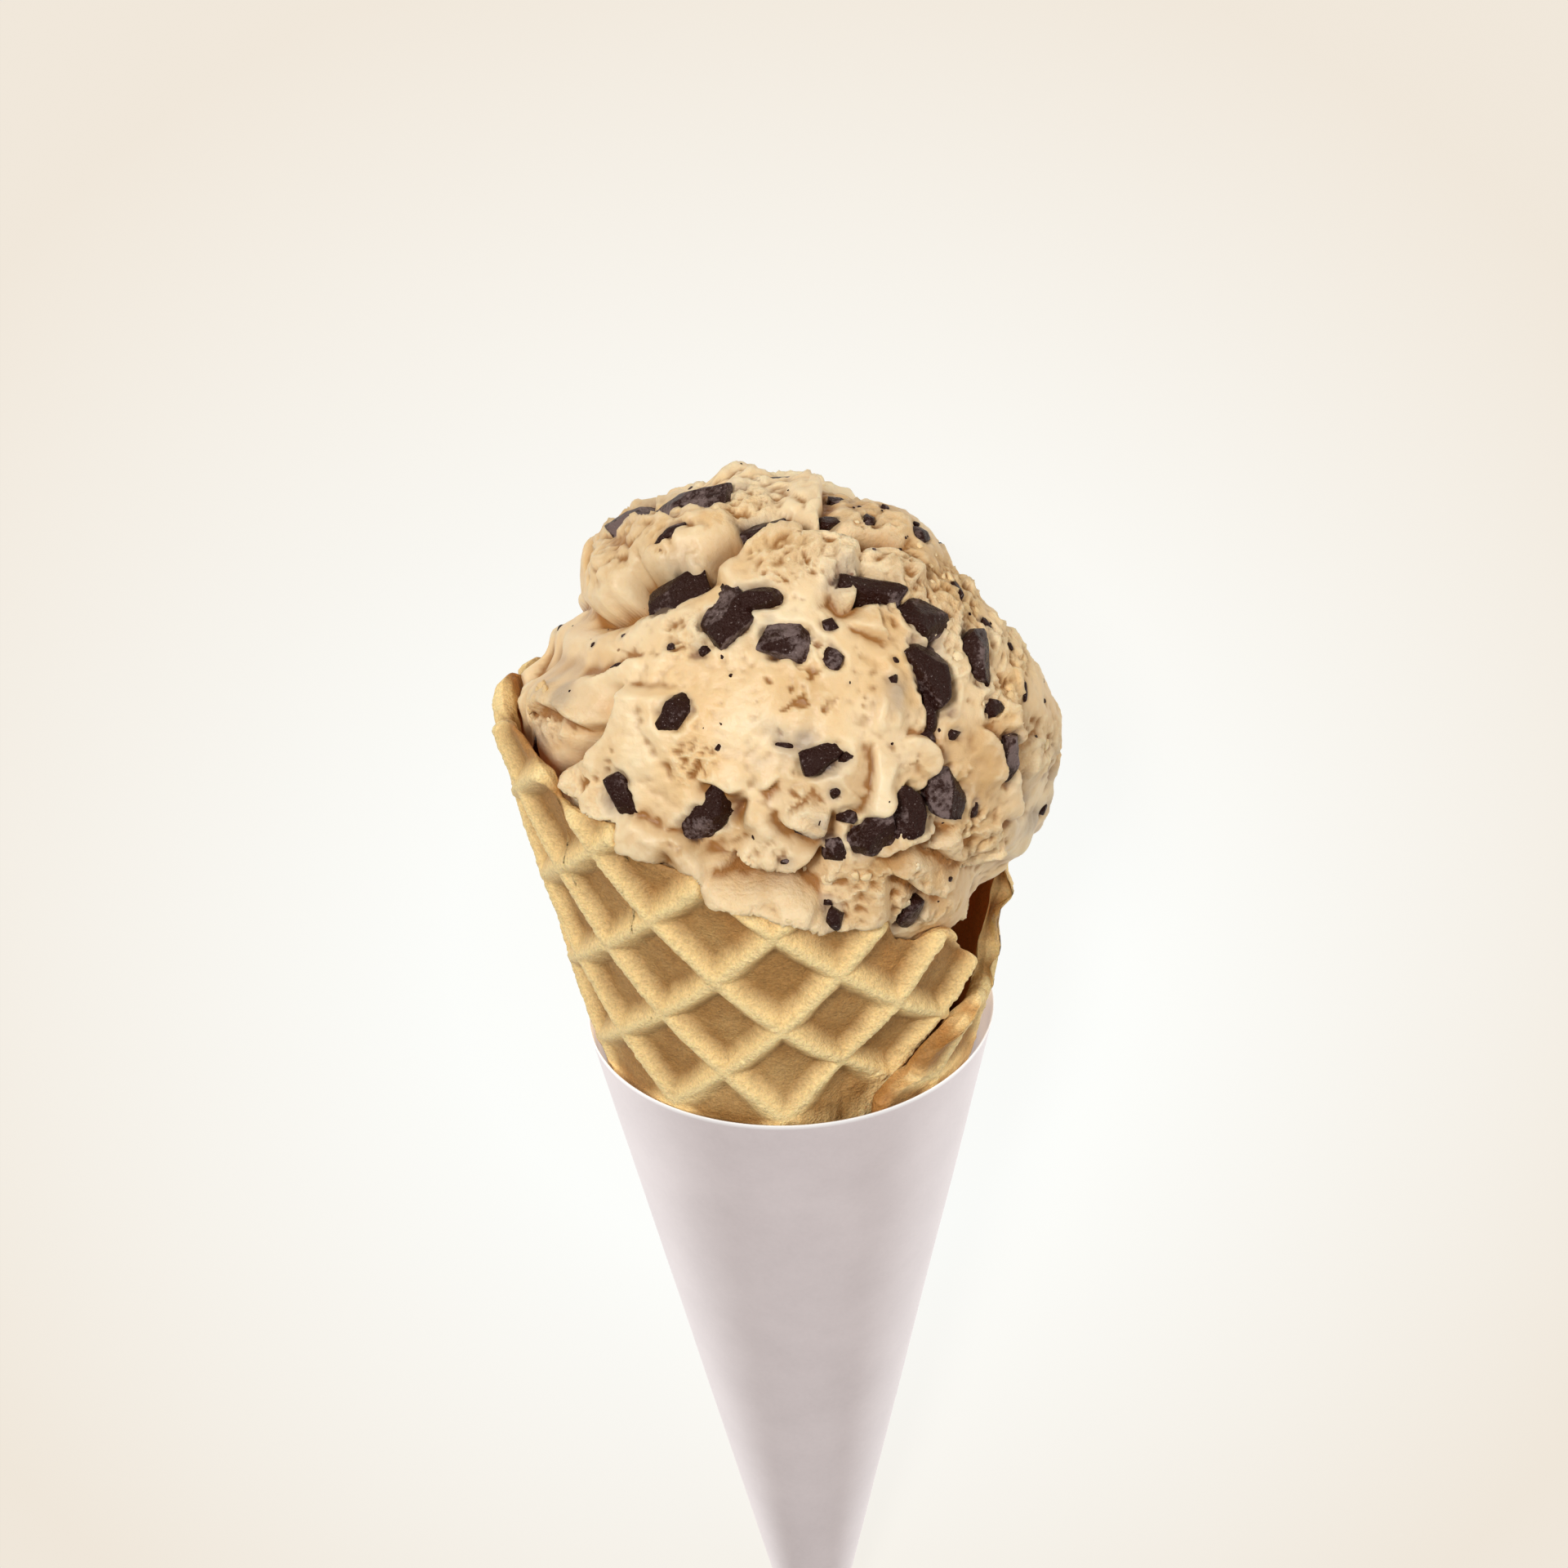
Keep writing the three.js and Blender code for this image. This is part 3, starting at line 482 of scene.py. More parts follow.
def ridge_rise(flat):
    """1 on a ridge, 0 on the floor of a cell.

    Each family rises by a nearly straight flank from its foot to its narrow top; where two meet,
    the higher counts. Noise makes the lines and their widths uneven.
    """
    highest = 0
    for t, seed in zip(net_place(flat), (3, 4)):
        t = t + 0.02 * noise(flat, 6, seed) + 0.014 * noise(flat, 1.6, seed + 2)
        away = np.abs(t - np.round(t))
        foot = RIDGE_FOOT + 0.03 * noise(flat, 5, seed + 5)
        flank = np.clip((foot - away) / (foot - RIDGE_TOP), 0, 1)
        highest = np.maximum(highest, 0.75 * flank + 0.25 * smooth(flank))
    return highest


def rim_slant(azimuth):
    """Slant of the rim: its outline with small uneven bites, standing out where ridges end."""
    slant = table(RIM, azimuth)
    flat = flat_sheet(azimuth, slant)
    return slant + 0.35 * (ridge_rise(flat) - 0.4) + 0.28 * layered(flat, 2.6, 40)


def sheet_columns():
    """Azimuths along the roll: closest on the shown side, and at both ends, where the edge is round."""
    start, end = RIM[0, 0], RIM[-1, 0]
    edge = 1.2 * (1 - np.cos(np.linspace(0, np.pi / 2, 7)))
    even = np.interp(np.arange(451), (0, 45, 185, 450), (start + 1.2, -380, -186, end - 1.2))
    return np.concatenate((start + edge[:-1], even, end - edge[-2::-1]))


def sheet_rows(length):
    """Distances up from the sheet's foot: even, and closer in the last 1.3 mm to the rim."""
    hidden = 8.5
    low = np.linspace(0, hidden, 4)[:-1, None] + 0 * length
    even = hidden + np.linspace(0, 1, SHEET_ROWS - 2)[:-1, None] * (length - hidden - RIM_RADIUS)
    last = length - RIM_RADIUS * (1 - np.sin(np.linspace(0, np.pi / 2, RIM_ROWS)))[:, None]
    return np.concatenate((low, even, last))


def sheet_faces(rows, columns):
    """Faces of the closed sheet, and where its inner face has points of its own.

    The inner face leaves out two of three of the lower rows; its side cells keep the shared corners.
    """
    coarse = SHEET_ROWS - FINE_ROWS
    kept = np.concatenate((np.arange(0, coarse, 3), np.arange(coarse, rows)))
    inside = np.zeros((rows, columns), bool)
    inside[kept] = True
    inside[[0, -1], :] = inside[:, [0, -1]] = False
    number = np.arange(rows * columns).reshape(rows, columns)
    under = number.copy()
    under[inside] = rows * columns + np.arange(inside.sum())
    faces = [grid_faces(rows, columns)]
    for low, high in zip(kept[:-1], kept[1:]):
        a, b = under[low], under[high]
        left, right = number[low : high + 1, 0], number[low : high + 1, -1]
        faces.append(np.stack((a[1:-2], b[1:-2], b[2:-1], a[2:-1]), -1))
        faces.append(np.concatenate((left, [b[1], a[1]]))[None])
        faces.append(np.concatenate((right[::-1], [a[-2], b[-2]]))[None])
    return faces, inside


def rolled_sheet(settings):
    """The baked sheet as a closed pillow of two grids that share their edges.

    A grid point has an azimuth along the roll and a distance up from the foot. The azimuth is moved
    near the two ends so that the grid follows their slanting outlines. The outer face lies under
    the ridge tops by the ridge height times 1 - rise, the inner face one thickness in, and both
    close on their middle along a quarter circle in the last 1.3 mm to the edge.
    """
    thick = settings.thickness / MM
    height = settings.ridge_height / MM
    rim_azimuth = sheet_columns()[None, :]
    s = (rim_azimuth - RIM[0, 0]) / (RIM[-1, 0] - RIM[0, 0])
    rim = rim_slant(rim_azimuth)
    slant = SHEET_LOW + sheet_rows(rim - SHEET_LOW)
    first = table(OUTER_END, slant[:, :1]) - RIM[0, 0]
    last = table(INNER_END, slant[:, -1:]) - RIM[-1, 0]
    azimuth = rim_azimuth + (1 - s) ** 8 * first + s**8 * last

    mm_per_degree = np.radians(slant * SIN)
    to_first = (azimuth - azimuth[:, :1]) * mm_per_degree
    to_last = (azimuth[:, -1:] - azimuth) * mm_per_degree
    to_rim = rim - slant
    to_end = np.minimum(to_first, to_last) * 0.8
    inward = np.minimum(np.minimum(to_rim, to_end), slant - SHEET_LOW)
    flat = flat_sheet(azimuth, slant)
    rise = ridge_rise(flat)
    faint = 0.3 + 0.7 * smooth(to_first, 3, 17)

    near, _, own = grains(flat, 1.3, 60)
    pores = np.where(own > 0.2, bell(near / 0.24), 0)
    notches = np.abs(noise(flat, 1.1, 71)) * smooth(rise, 0.6, 1) + 0.4 * np.abs(noise(flat, 0.8, 73))
    rough = 0.07 * layered(flat, 1.3, 62) + 0.1 * noise(flat, 5, 64) - 0.14 * pores - 0.32 * notches
    bead = 0.3 * bell(to_rim / 2.4) * (0.3 + noise(flat, 2.4, 66))
    lap_bead = 0.45 * bell(to_end / 2.2) * (1 + 0.8 * noise(flat, 4, 72))
    tucked = smooth(-slant, -127, -121.5)
    roll = roll_offset(azimuth, slant) - 0.1 * tucked
    ridges = height * (1 - rise) * faint * (1 - 0.6 * tucked)
    outer = roll - ridges + 0.12 * (1 - rise) * noise(flat, 2.6, 67) + rough + bead + lap_bead
    uneven = 0.2 * noise(flat, 4, 68)
    inner = roll - thick + 0.3 * (1 - rise) + uneven + 0.1 * layered(flat, 1.3, 69) - bead
    middle = (outer + inner) / 2
    roundness = np.sqrt(np.clip(1 - (1 - np.clip(inward / RIM_RADIUS, 0, 1)) ** 2, 0, 1))
    outer = middle + (outer - middle) * roundness
    inner = middle + (inner - middle) * roundness

    patched = layered(flat, 9, 83)
    toast = (
        0.9 * bell(to_rim / 2.6) * smooth(patched, 0.1, 0.8)
        + 0.55 * bell(to_rim / 9) * (1 - rise) * smooth(patched, -0.6, 0.5)
        + 0.55 * bell(to_first / 1.6) * smooth(-slant, -130, -124)
        + 0.12 * (1 - faint)
        + 0.16 * smooth(layered(flat, 16, 81), 0, 0.9)
    )
    faces, inside = sheet_faces(*slant.shape)
    top = on_floor(on_cone(slant, azimuth, outer)).reshape(-1, 3)
    points = np.concatenate((top, on_cone(slant, azimuth, inner)[inside]))
    attributes = {
        "rise": np.concatenate((rise.ravel(), 0.4 * rise[inside])),
        "toast": np.concatenate((toast.ravel(), toast[inside])),
        # the inner face, for its own colour and its painted glow
        "inside": np.concatenate((np.zeros(inward.size), smooth(inward, 0.6, 5)[inside])),
    }
    return points, faces, attributes


def plain_point():
    """The cone's plain closed point inside the sleeve: a wall between two cones, closed at the top."""
    columns = 64
    azimuth = np.linspace(0, 360, columns + 1)[None, :-1]
    slants = np.array([11, POINT_TOP, POINT_TOP, 21])[:, None]
    offsets = np.array([-1.3, -1.3, POINT_WALL, POINT_WALL])[:, None]
    wall = on_cone(slants + 0 * azimuth, azimuth, offsets).reshape(-1, 3)
    points = np.concatenate((wall, [(0, 0, 9), (0, 0, 20)]))
    outer_tip = fan_faces(0, 4 * columns, columns, True)
    inner_tip = fan_faces(3 * columns, 4 * columns + 1, columns, False)
    return points, grid_faces(4, columns, wrapped=True), np.concatenate((outer_tip, inner_tip))


def baked_batter(settings):
    """Waffle baked in a hot iron: matt and finely grained, golden on the ridges that touched the iron,
    duller and browner on the floors of the cells, orange brown where thin edges toasted, with a painted
    highlight along the crests and a faint painted glow on the inner face."""
    material, tree = new_material("baked_waffle_batter")
    place = add(tree, "TexCoord").outputs["Object"]
    rise, toast, inside = [
        add(tree, "Attribute", attribute_name=name).outputs["Fac"] for name in ("rise", "toast", "inside")
    ]
    clouds = add(tree, "TexNoise", {"Vector": place, "Scale": 1 / 0.006, "Detail": 3.0, "Roughness": 0.55})
    grain = add(tree, "TexNoise", {"Vector": place, "Scale": 1 / 0.00055, "Detail": 3.0, "Roughness": 0.6})
    fine = add(tree, "TexNoise", {"Vector": place, "Scale": 1 / 0.0003, "Detail": 2.0})

    # from floor to ridge, loosened by the clouds of the batter
    level = add(tree, "Math", {0: clouds, 1: -0.5}, operation="ADD")
    level = add(tree, "Math", {0: level, 1: 0.6, 2: rise}, operation="MULTIPLY_ADD")
    level = add(tree, "MapRange", {"Value": level, "From Min": -0.05, "From Max": 0.75})
    browned = add(tree, "Math", {0: toast, 1: clouds}, operation="MULTIPLY")
    browned = add(tree, "MapRange", {"Value": browned, "From Min": 0.08, "From Max": 0.6, "To Max": 0.85})
    lined = add(tree, "MapRange", {"Value": inside, "From Min": 0.25, "From Max": 0.8, "To Max": 0.92})
    # painted highlight: a paler line along the crests of the ridges
    painted_crest_highlight = add(tree, "MapRange", {"Value": rise, "From Min": 0.82, "From Max": 1.0, "To Max": 0.5})
    colour = rgba(settings.floor_colour)
    for share, over in (
        (level, settings.ridge_colour),
        (browned, settings.toast_colour),
        (lined, settings.inner_colour),
        (painted_crest_highlight, linear("#FBE3A8")),
    ):
        colour = add(tree, "Mix", {0: share, 6: colour, 7: rgba(over)}, data_type="RGBA")
    # flour and sugar: a light and dark speckle at the size of grains
    grit = add(tree, "Math", {0: grain, 1: fine}, operation="ADD")
    speckle = {"Value": grit, "From Min": 0.75, "From Max": 1.25, "To Min": 0.84, "To Max": 1.14}
    speckle = add(tree, "MapRange", speckle)
    colour = add(tree, "Mix", {0: 1.0, 6: colour, 7: speckle}, data_type="RGBA", blend_type="MULTIPLY")
    # painted glow: the inner face gives off a little light of its own, standing in for light that the thin
    # sheet lets in
    painted_glow = add(tree, "MapRange", {"Value": inside, "From Min": 0.5, "From Max": 1.0, "To Max": 0.04})
    bump = add(tree, "Bump", {"Height": grit, "Strength": 0.7, "Distance": 0.00025})
    shader = {
        "Base Color": colour,
        "Roughness": 0.62,
        "Specular IOR Level": 0.35,
        "Emission Color": (0.6, 0.15, 0.025, 1),
        "Emission Strength": painted_glow,
        "Subsurface Weight": 0.12,
        "Subsurface Radius": (1.0, 0.55, 0.25),
        "Subsurface Scale": 0.0012,
        "Normal": bump,
    }
    add(tree, "OutputMaterial", {"Surface": add(tree, "BsdfPrincipled", shader)})
    return material


class WaffleSettings(bpy.types.PropertyGroup):
    thickness: FloatProperty(
        name="Thickness", description="From ridge top to inner face", default=0.0028, unit="LENGTH"
    )
    ridge_height: FloatProperty(
        name="Ridge height", description="From cell floor to ridge top", default=0.0019, unit="LENGTH"
    )
    ridge_colour: FloatVectorProperty(
        name="Ridges", description="Golden ridges", default=linear("#F6D392"), subtype="COLOR"
    )
    floor_colour: FloatVectorProperty(
        name="Cell floors", description="Duller floors", default=linear("#A87C45"), subtype="COLOR"
    )
    toast_colour: FloatVectorProperty(
        name="Toasting", description="Toasted edges", default=linear("#B9762E"), subtype="COLOR"
    )
    inner_colour: FloatVectorProperty(
        name="Inner face", description="Inside of the roll", default=linear("#C87236"), subtype="COLOR"
    )


class CONE_OT_waffle(bpy.types.Operator):
    """Rolls the ridged waffle sheet into a cone with its plain point"""

    bl_idname = "cone.waffle"
    bl_label = "Waffle cone"

    def execute(self, context):
        settings = context.scene.cone_waffle
        sheet, faces, layers = rolled_sheet(settings)
        point, wall, tips = plain_point()
        points = np.concatenate((sheet, point))
        faces += [wall + len(sheet), tips + len(sheet)]
        layers = {key: np.concatenate((v, np.zeros(len(point)))) for key, v in layers.items()}
        make_piece("waffle_sheet", points, faces, baked_batter(settings), ["waffle_cone"], layers)
        return {"FINISHED"}


# ---- Paper sleeve ----


def sleeve_shell(settings):
    """Paper rolled once into a cone: a profile up the outside, over the cut edge and down the inside,
    carried round the axis. It bulges by a tenth of a millimetre or so, and at the back it steps out by
    one thickness and drops off at the glued seam. What meets the floor is pressed flat."""
    columns, outside, inside = 300, 150, 40
    rows = outside + 2 + inside
    azimuth = (np.arange(columns) + 0.5)[None, :] * 360 / columns
    turn = np.radians(azimuth)
    rim = SLEEVE_RIM + SLEEVE_RIM_TILT[0] * np.cos(turn) + SLEEVE_RIM_TILT[1] * np.sin(turn)
    rim = rim + 0.12 * np.sin(2 * turn + 1.1)
    top = rim - 0.06  # the walls end just under the cut edge
    outer_slant = 3 + (top - 3) * np.linspace(0, 1, outside)[:, None] ** 0.8
    inner_slant = 6 + (top - 6) * np.linspace(1, 0, inside)[:, None]
    slant = np.concatenate((outer_slant, rim, rim, inner_slant))
    inward = np.concatenate((np.zeros((outside, 1)), [[0.2], [0.8]], np.ones((inside, 1))))
    seam = settings.seam_azimuth
    lapped = smooth(azimuth, seam - 34, seam - 12) * (azimuth < seam)
    where = on_cone(slant, azimuth, 0)
    bulge = 0.07 * noise(where, 26, 11) + 0.02 * noise(where, 9, 12)
    bulge = bulge * smooth(slant, 0, 30)
    offset = SLEEVE_OUTER + bulge + 0.16 * lapped - settings.paper / MM * inward
    wall = on_floor(on_cone(slant, azimuth, offset)).reshape(-1, 3)
    points = np.concatenate((wall, [(0, 0, SLEEVE_TIP), (0, 0, 5)]))
    outer_tip = fan_faces(0, len(wall), columns, True)
    inner_tip = fan_faces(len(wall) - columns, len(wall) + 1, columns, False)
    # the cut edge, which gets a painted highlight
    edge = np.zeros((rows, columns))
    edge[outside - 1 : outside + 3] = 1
    # painted glow at the sides of the cone as the camera sees them
    backlit = smooth(np.abs(np.cos(turn)), 0.34, 1) + 0 * slant
    layers = {"cut": np.append(edge.ravel(), (0, 0)), "backlit": np.append(backlit.ravel(), (0, 0))}
    return points, [grid_faces(rows, columns, wrapped=True), outer_tip, inner_tip], layers


def bleached_paper(settings):
    """Uncoated bleached sulphite paper: white, matt, with a faint cloud of fibres, a painted highlight
    along the cut edge, and a painted glow at the sides that stands in for light from the floor
    shining into the thin paper."""
    material, tree = new_material("bleached_paper")
    place = add(tree, "TexCoord").outputs["Object"]
    edge, backlit = [
        add(tree, "Attribute", attribute_name=name).outputs["Fac"] for name in ("cut", "backlit")
    ]
    clouds = add(tree, "TexNoise", {"Vector": place, "Scale": 1 / 0.009, "Detail": 4.0, "Roughness": 0.6})
    fibres = add(tree, "TexNoise", {"Vector": place, "Scale": 1 / 0.0006, "Detail": 3.0, "Roughness": 0.7})
    mottle = add(tree, "Math", {0: fibres, 1: 0.4, 2: clouds}, operation="MULTIPLY_ADD")
    dense = add(tree, "MapRange", {"Value": mottle, "From Min": 0.45, "From Max": 0.95})
    colour = rgba(settings.colour)
    # painted highlight along the cut edge; the denser fibres are the paper's own
    for share, over in ((dense, settings.fibre_colour), (edge, (0.97, 0.95, 0.93))):
        colour = add(tree, "Mix", {0: share, 6: colour, 7: rgba(over)}, data_type="RGBA")
    # painted glow at the sides
    painted_glow = add(tree, "Math", {0: backlit, 1: 0.34}, operation="MULTIPLY")
    shader = {
        "Base Color": colour,
        "Emission Color": (0.93, 0.92, 0.95, 1),
        "Emission Strength": painted_glow,
        "Roughness": 0.8,
        "Specular IOR Level": 0.3,
        "Normal": add(tree, "Bump", {"Height": mottle, "Strength": 0.25, "Distance": 0.00008}),
    }
    add(tree, "OutputMaterial", {"Surface": add(tree, "BsdfPrincipled", shader)})
    return material


class SleeveSettings(bpy.types.PropertyGroup):
    paper: FloatProperty(
        name="Paper thickness", description="Thickness of the paper", default=0.0002, unit="LENGTH"
    )
    seam_azimuth: FloatProperty(
        name="Seam", description="Azimuth of the glued seam in degrees", default=62.0
    )
    colour: FloatVectorProperty(
        name="Paper", description="White paper", default=linear("#DED2D1"), subtype="COLOR"
    )
    fibre_colour: FloatVectorProperty(
        name="Fibres", description="Denser fibres", default=linear("#D4C8C7"), subtype="COLOR"
    )


class CONE_OT_sleeve(bpy.types.Operator):
    """Makes the paper sleeve with its glued seam at the back"""

    bl_idname = "cone.sleeve"
    bl_label = "Paper sleeve"

    def execute(self, context):
        settings = context.scene.cone_sleeve
        points, faces, attributes = sleeve_shell(settings)
        make_piece("sleeve", points, faces, bleached_paper(settings), ["paper_sleeve"], attributes)
        return {"FINISHED"}


# ---- Ice cream ----


def towards(right, up, side):
    """Unit directions from the scoop's middle to places given right and up on its face."""
    right, up, side = np.broadcast_arrays(right, up, side)
    out = side * np.sqrt(np.maximum(0, SCOOP_RADIUS**2 - right**2 - up**2))
    return unit(np.stack((right, up, out), -1) @ FACE)


def on_face(points):
    """Right, up and out of points or directions from the scoop's middle, seen on its shown face."""
    return (points @ FACE.T).T


def patches(rows, right, up, ragged):
    """Of each patch, given as a row of right, up, reach and more: the distance from its middle,
    which is 1 at its reach, with a ragged outline, and the rest of the row."""
    for x, y, reach, *more in rows:
        yield np.hypot(right - x, up - y) / reach + ragged, more


def line_distance(right, up, line):
    """Distance to a line of straight stretches, positive on its left, how near to its ends, and the
    direction to its left.

    Each stretch gives the distance to its nearest point; the smallest of them counts, with the sign
    of the cross product of the stretch and the way to the point.
    """
    line = np.array(line, float)
    steps = np.diff(line, axis=0)
    lengths = np.linalg.norm(steps, axis=1)
    before = np.concatenate(([0], np.cumsum(lengths)))
    best = np.full(right.shape, 1e9)
    signed = best.copy()
    run = np.zeros_like(best)
    left = np.zeros((2, len(right)))
    for start, step, length, passed in zip(line, steps, lengths, before):
        x, y = right - start[0], up - start[1]
        share = np.clip((x * step[0] + y * step[1]) / length**2, 0, 1)
        away = np.hypot(x - share * step[0], y - share * step[1])
        side = np.where(step[0] * y - step[1] * x >= 0, 1.0, -1.0)
        closer = away < best
        best = np.where(closer, away, best)
        signed = np.where(closer, away * side, signed)
        run = np.where(closer, passed + share * length, run)
        left = np.where(closer, np.array([[-step[1]], [step[0]]]) / length, left)
    ends = smooth(np.minimum(run, before[-1] - run), 0, 1.8)
    return signed, ends, left


def to_cone(directions, offset):
    """Distance from the scoop's middle to a cone offset from the ridge tops: the quadratic of the
    ray and the cone."""
    x, y, z = SCOOP_MIDDLE
    height = z + offset / SIN
    a = directions[:, 0] ** 2 + directions[:, 1] ** 2 - (TAN * directions[:, 2]) ** 2
    b = 2 * (x * directions[:, 0] + y * directions[:, 1] - TAN**2 * height * directions[:, 2])
    c = x**2 + y**2 - (TAN * height) ** 2
    root = np.sqrt(np.maximum(0, b * b - 4 * a * c))
    distance = 2 * c / (-b - root)
    return np.where(distance > 0, distance, 1e6)


def rolled_azimuth(azimuth):
    """Azimuth along the roll of the layer that the ice cream meets."""
    return np.where(azimuth > RIM[-1, 0], azimuth - 360, azimuth)


def wall_distance(directions, rim_table):
    """Distance to the waffle's inner face, and the height of that place above the rim.

    Starts with an offset that is about right, and looks up the roll's own four times.
    """
    offset = np.full(len(directions), -2.95)
    for _ in range(4):
        wall = to_cone(directions, offset)
        place = directions * wall[:, None] + SCOOP_MIDDLE
        slant = np.clip(place[:, 2] / COS, 0, 400)
        azimuth = rolled_azimuth(np.degrees(np.arctan2(place[:, 1], place[:, 0])))
        face = roll_offset(azimuth, slant) - SHEET_FACE
        offset = np.where(slant < 127, np.minimum(face, POINT_WALL), face) - CREAM_GAP
    return wall, slant - np.interp(azimuth, *rim_table)


def torn_share(place, right, up, out):
    """0 where the scoop smoothed the cream, 1 where it tore: patches on the face, noise elsewhere."""
    share = smooth(noise(place, 12, 31) + 0.25 * noise(place, 4, 32), 0.05, 0.45) * smooth(-out, -8, 4)
    for away, _ in patches(TORN, right, up, 0.25 * noise(place, 3, 33)):
        share = np.maximum(share, smooth(-away, -1.1, -0.6) * smooth(out, -4, 4))
    return share


def shifted(points, size, seed, amount):
    """Points pulled out of place by noise of a size."""
    return points + amount * np.stack([noise(points, size, seed + k) for k in range(3)], -1)


def crests(points, size, seed):
    """Sharp crests with soft valleys between them: where noise crosses 0, from 0 to 1."""
    return (1 - np.minimum(1, 2 * np.abs(noise(points, size, seed)))) ** 2


def crumble(place):
    """Torn cream in mm: sharp crests 3.2 and 1.5 mm apart over soft lumps, pulled out of shape by
    noise, with flakes that stand out by different heights."""
    pulled = shifted(shifted(place, 3.2, 61, 1.2), 1.3, 71, 0.45)
    lumps = 0.7 * noise(pulled, 3.8, 41) + 0.55 * crests(pulled, 3.2, 42) + 0.28 * crests(pulled, 1.5, 43)
    near, second, own = grains(pulled, 2.4, 36)
    return lumps + 0.4 * own * smooth(second - near, 0, 0.25) + 0.14 * noise(place, 0.7, 44) - 0.35


def lip(signed, height, depth, fade):
    """A raised lip on the positive side of a line and the crevice on its other side."""
    rise = height * smooth(signed, -0.25, 0.15 + 0.35 * height) * bell(np.maximum(signed, 0) / fade)
    sunk = bell((signed + 0.5) / np.where(signed < -0.5, 1.4, 0.55))
    return rise - depth * sunk, sunk * min(1, depth)


def relief(directions, settings):
    """What makes the scoop more than a ball, in mm, but for the fine relief, with its colour layers.

    Lumps are bell curves of the distance to their middle. Folds are lips along lines, on the back
    along the level lines of slow noise. Ledges repeat a slow rise and a short fall along a warped
    level.
    """
    place = directions * SCOOP_RADIUS
    right, up, out = on_face(place)
    lump = np.zeros(len(place))
    for x, y, spread, height, side in LUMPS:
        away = np.linalg.norm(directions - towards(x, y, side), axis=-1) * SCOOP_RADIUS
        lump += height * bell(away / spread)

    around = np.degrees(np.arctan2(up, right))
    ring = smooth(np.hypot(right, up), 20, 28)
    for angle, width, height in OUTLINE:
        lump += height * ring * bell((around - angle) / width)

    front = smooth(out, -1, 7)
    ragged = [0.6 * noise(place, 3.6, seed) + 0.12 * noise(place, 1.5, seed + 1) for seed in (21, 121)]
    fold, crevice = np.zeros((2, len(place)))
    lean = np.zeros((2, len(place)))
    for raised, height, depth, fade, line in FOLDS:
        signed, ends, left = line_distance(right + ragged[0], up + ragged[1], line)
        signed, ends = signed * raised, ends * front
        rise, sunk = lip(signed, 1.25 * height, 1.25 * depth, fade)
        fold += ends * rise
        crevice = np.maximum(crevice, ends * sunk)
        lean -= raised * left * ends * height * bell((signed - 0.5) / 0.9)
    moved = right + 0.3 * noise(place, 3, 25)
    for height, width, line in CURLS:
        signed, ends, _ = line_distance(moved, up, line)
        fold += front * ends * height * bell(signed / width)
    for size, seed, height in ((17, 91, 1.7), (10, 95, 1.0)):
        signed = noise(place, size, seed) * size * 0.6 + ragged[0]
        rise, sunk = lip(signed, height, height, 4.5)
        some = (1 - front) * smooth(noise(place, 12, seed + 2), -0.25, 0.1)
        fold += some * rise
        crevice = np.maximum(crevice, some * sunk)

    level = place @ np.array([0.25, 0.35, 0.9]) / 10.5
    level = level + 0.85 * noise(place, 13, 26) + 0.25 * noise(place, 4.5, 27) + 0.06 * ragged[1]
    part = level - np.floor(level)
    ledge = (smooth(part, 0, 0.8) - smooth(part, 0.86, 0.97)) * smooth(noise(place, 8, 28), -0.25, 0.2)
    ledge = ledge * (0.25 + 0.75 * (1 - front))
    coarse = 0.5 * noise(place, 9, 37) + 0.3 * noise(place, 4.4, 38) + 0.9 * ledge
    layers = {
        # painted shade in the crevices of the folds and under the ledges
        "crevice_shade": crevice + 0.35 * smooth(part, 0.9, 1.0) * (ledge != 0),
        "torn": torn_share(place, right, up, out),
        "lean": lean,
    }
    return lump + (fold + coarse) * settings.relief, layers


def fine_relief(points, torn):
    """Fine relief in mm at points of the scoop, relative to its middle.

    Torn patches crumble; the rest has soft waves, the arcs that the scoop drew, and torn holes,
    many of them in one patch. The smooth slope has nearly none of it.
    """
    right, up, out = on_face(points)
    front = smooth(out, -1, 7)
    swirl = np.hypot(right - SWIRL[0], up - SWIRL[1])
    arcs = noise(np.stack((swirl / 1.5, points[:, 0] / 14, points[:, 2] / 14), -1), 1.0, 29)
    arcs = arcs * smooth(swirl, 5, 9) * smooth(-swirl, -15, -11) * front
    share = np.exp(-(((right - PITTED[0]) ** 2 + (up - PITTED[1]) ** 2) / PITTED[2] ** 2)) * front
    spots = noise(shifted(points, 1.5, 101, 0.5), 1.7, 52) + 0.3 * noise(points, 0.7, 53)
    holes = smooth(spots, 0.52 - 0.4 * share, 0.8 - 0.4 * share) * (0.2 + 0.8 * share)
    near, _, own = grains(points, 1.3, 57)
    small = bell(near / 0.24) * (own > 0.7 - 0.6 * torn)
    lumpy = front * smooth(up - 0.25 * right, 20, 23.5)
    lobes = billows(shifted(points, 3, 121, 0.8), 2.2, 54)
    calm = (0.14 + 0.26 * lumpy) * layered(points, 2.4, 45) + 0.5 * lumpy * lobes
    calm += 0.1 * crests(shifted(points, 4, 111, 1.5), 4.5, 112) + 0.3 * arcs - 0.65 * holes
    whole = torn * crumble(points) + (1 - torn) * calm + 0.1 * noise(points, 0.8, 46) - 0.22 * small
    away = np.hypot(right - SMOOTH_SLOPE[0], up - SMOOTH_SLOPE[1]) / SMOOTH_SLOPE[2]
    return whole * (1 - 0.92 * np.exp(-(away**4)) * smooth(out, -6, 0))


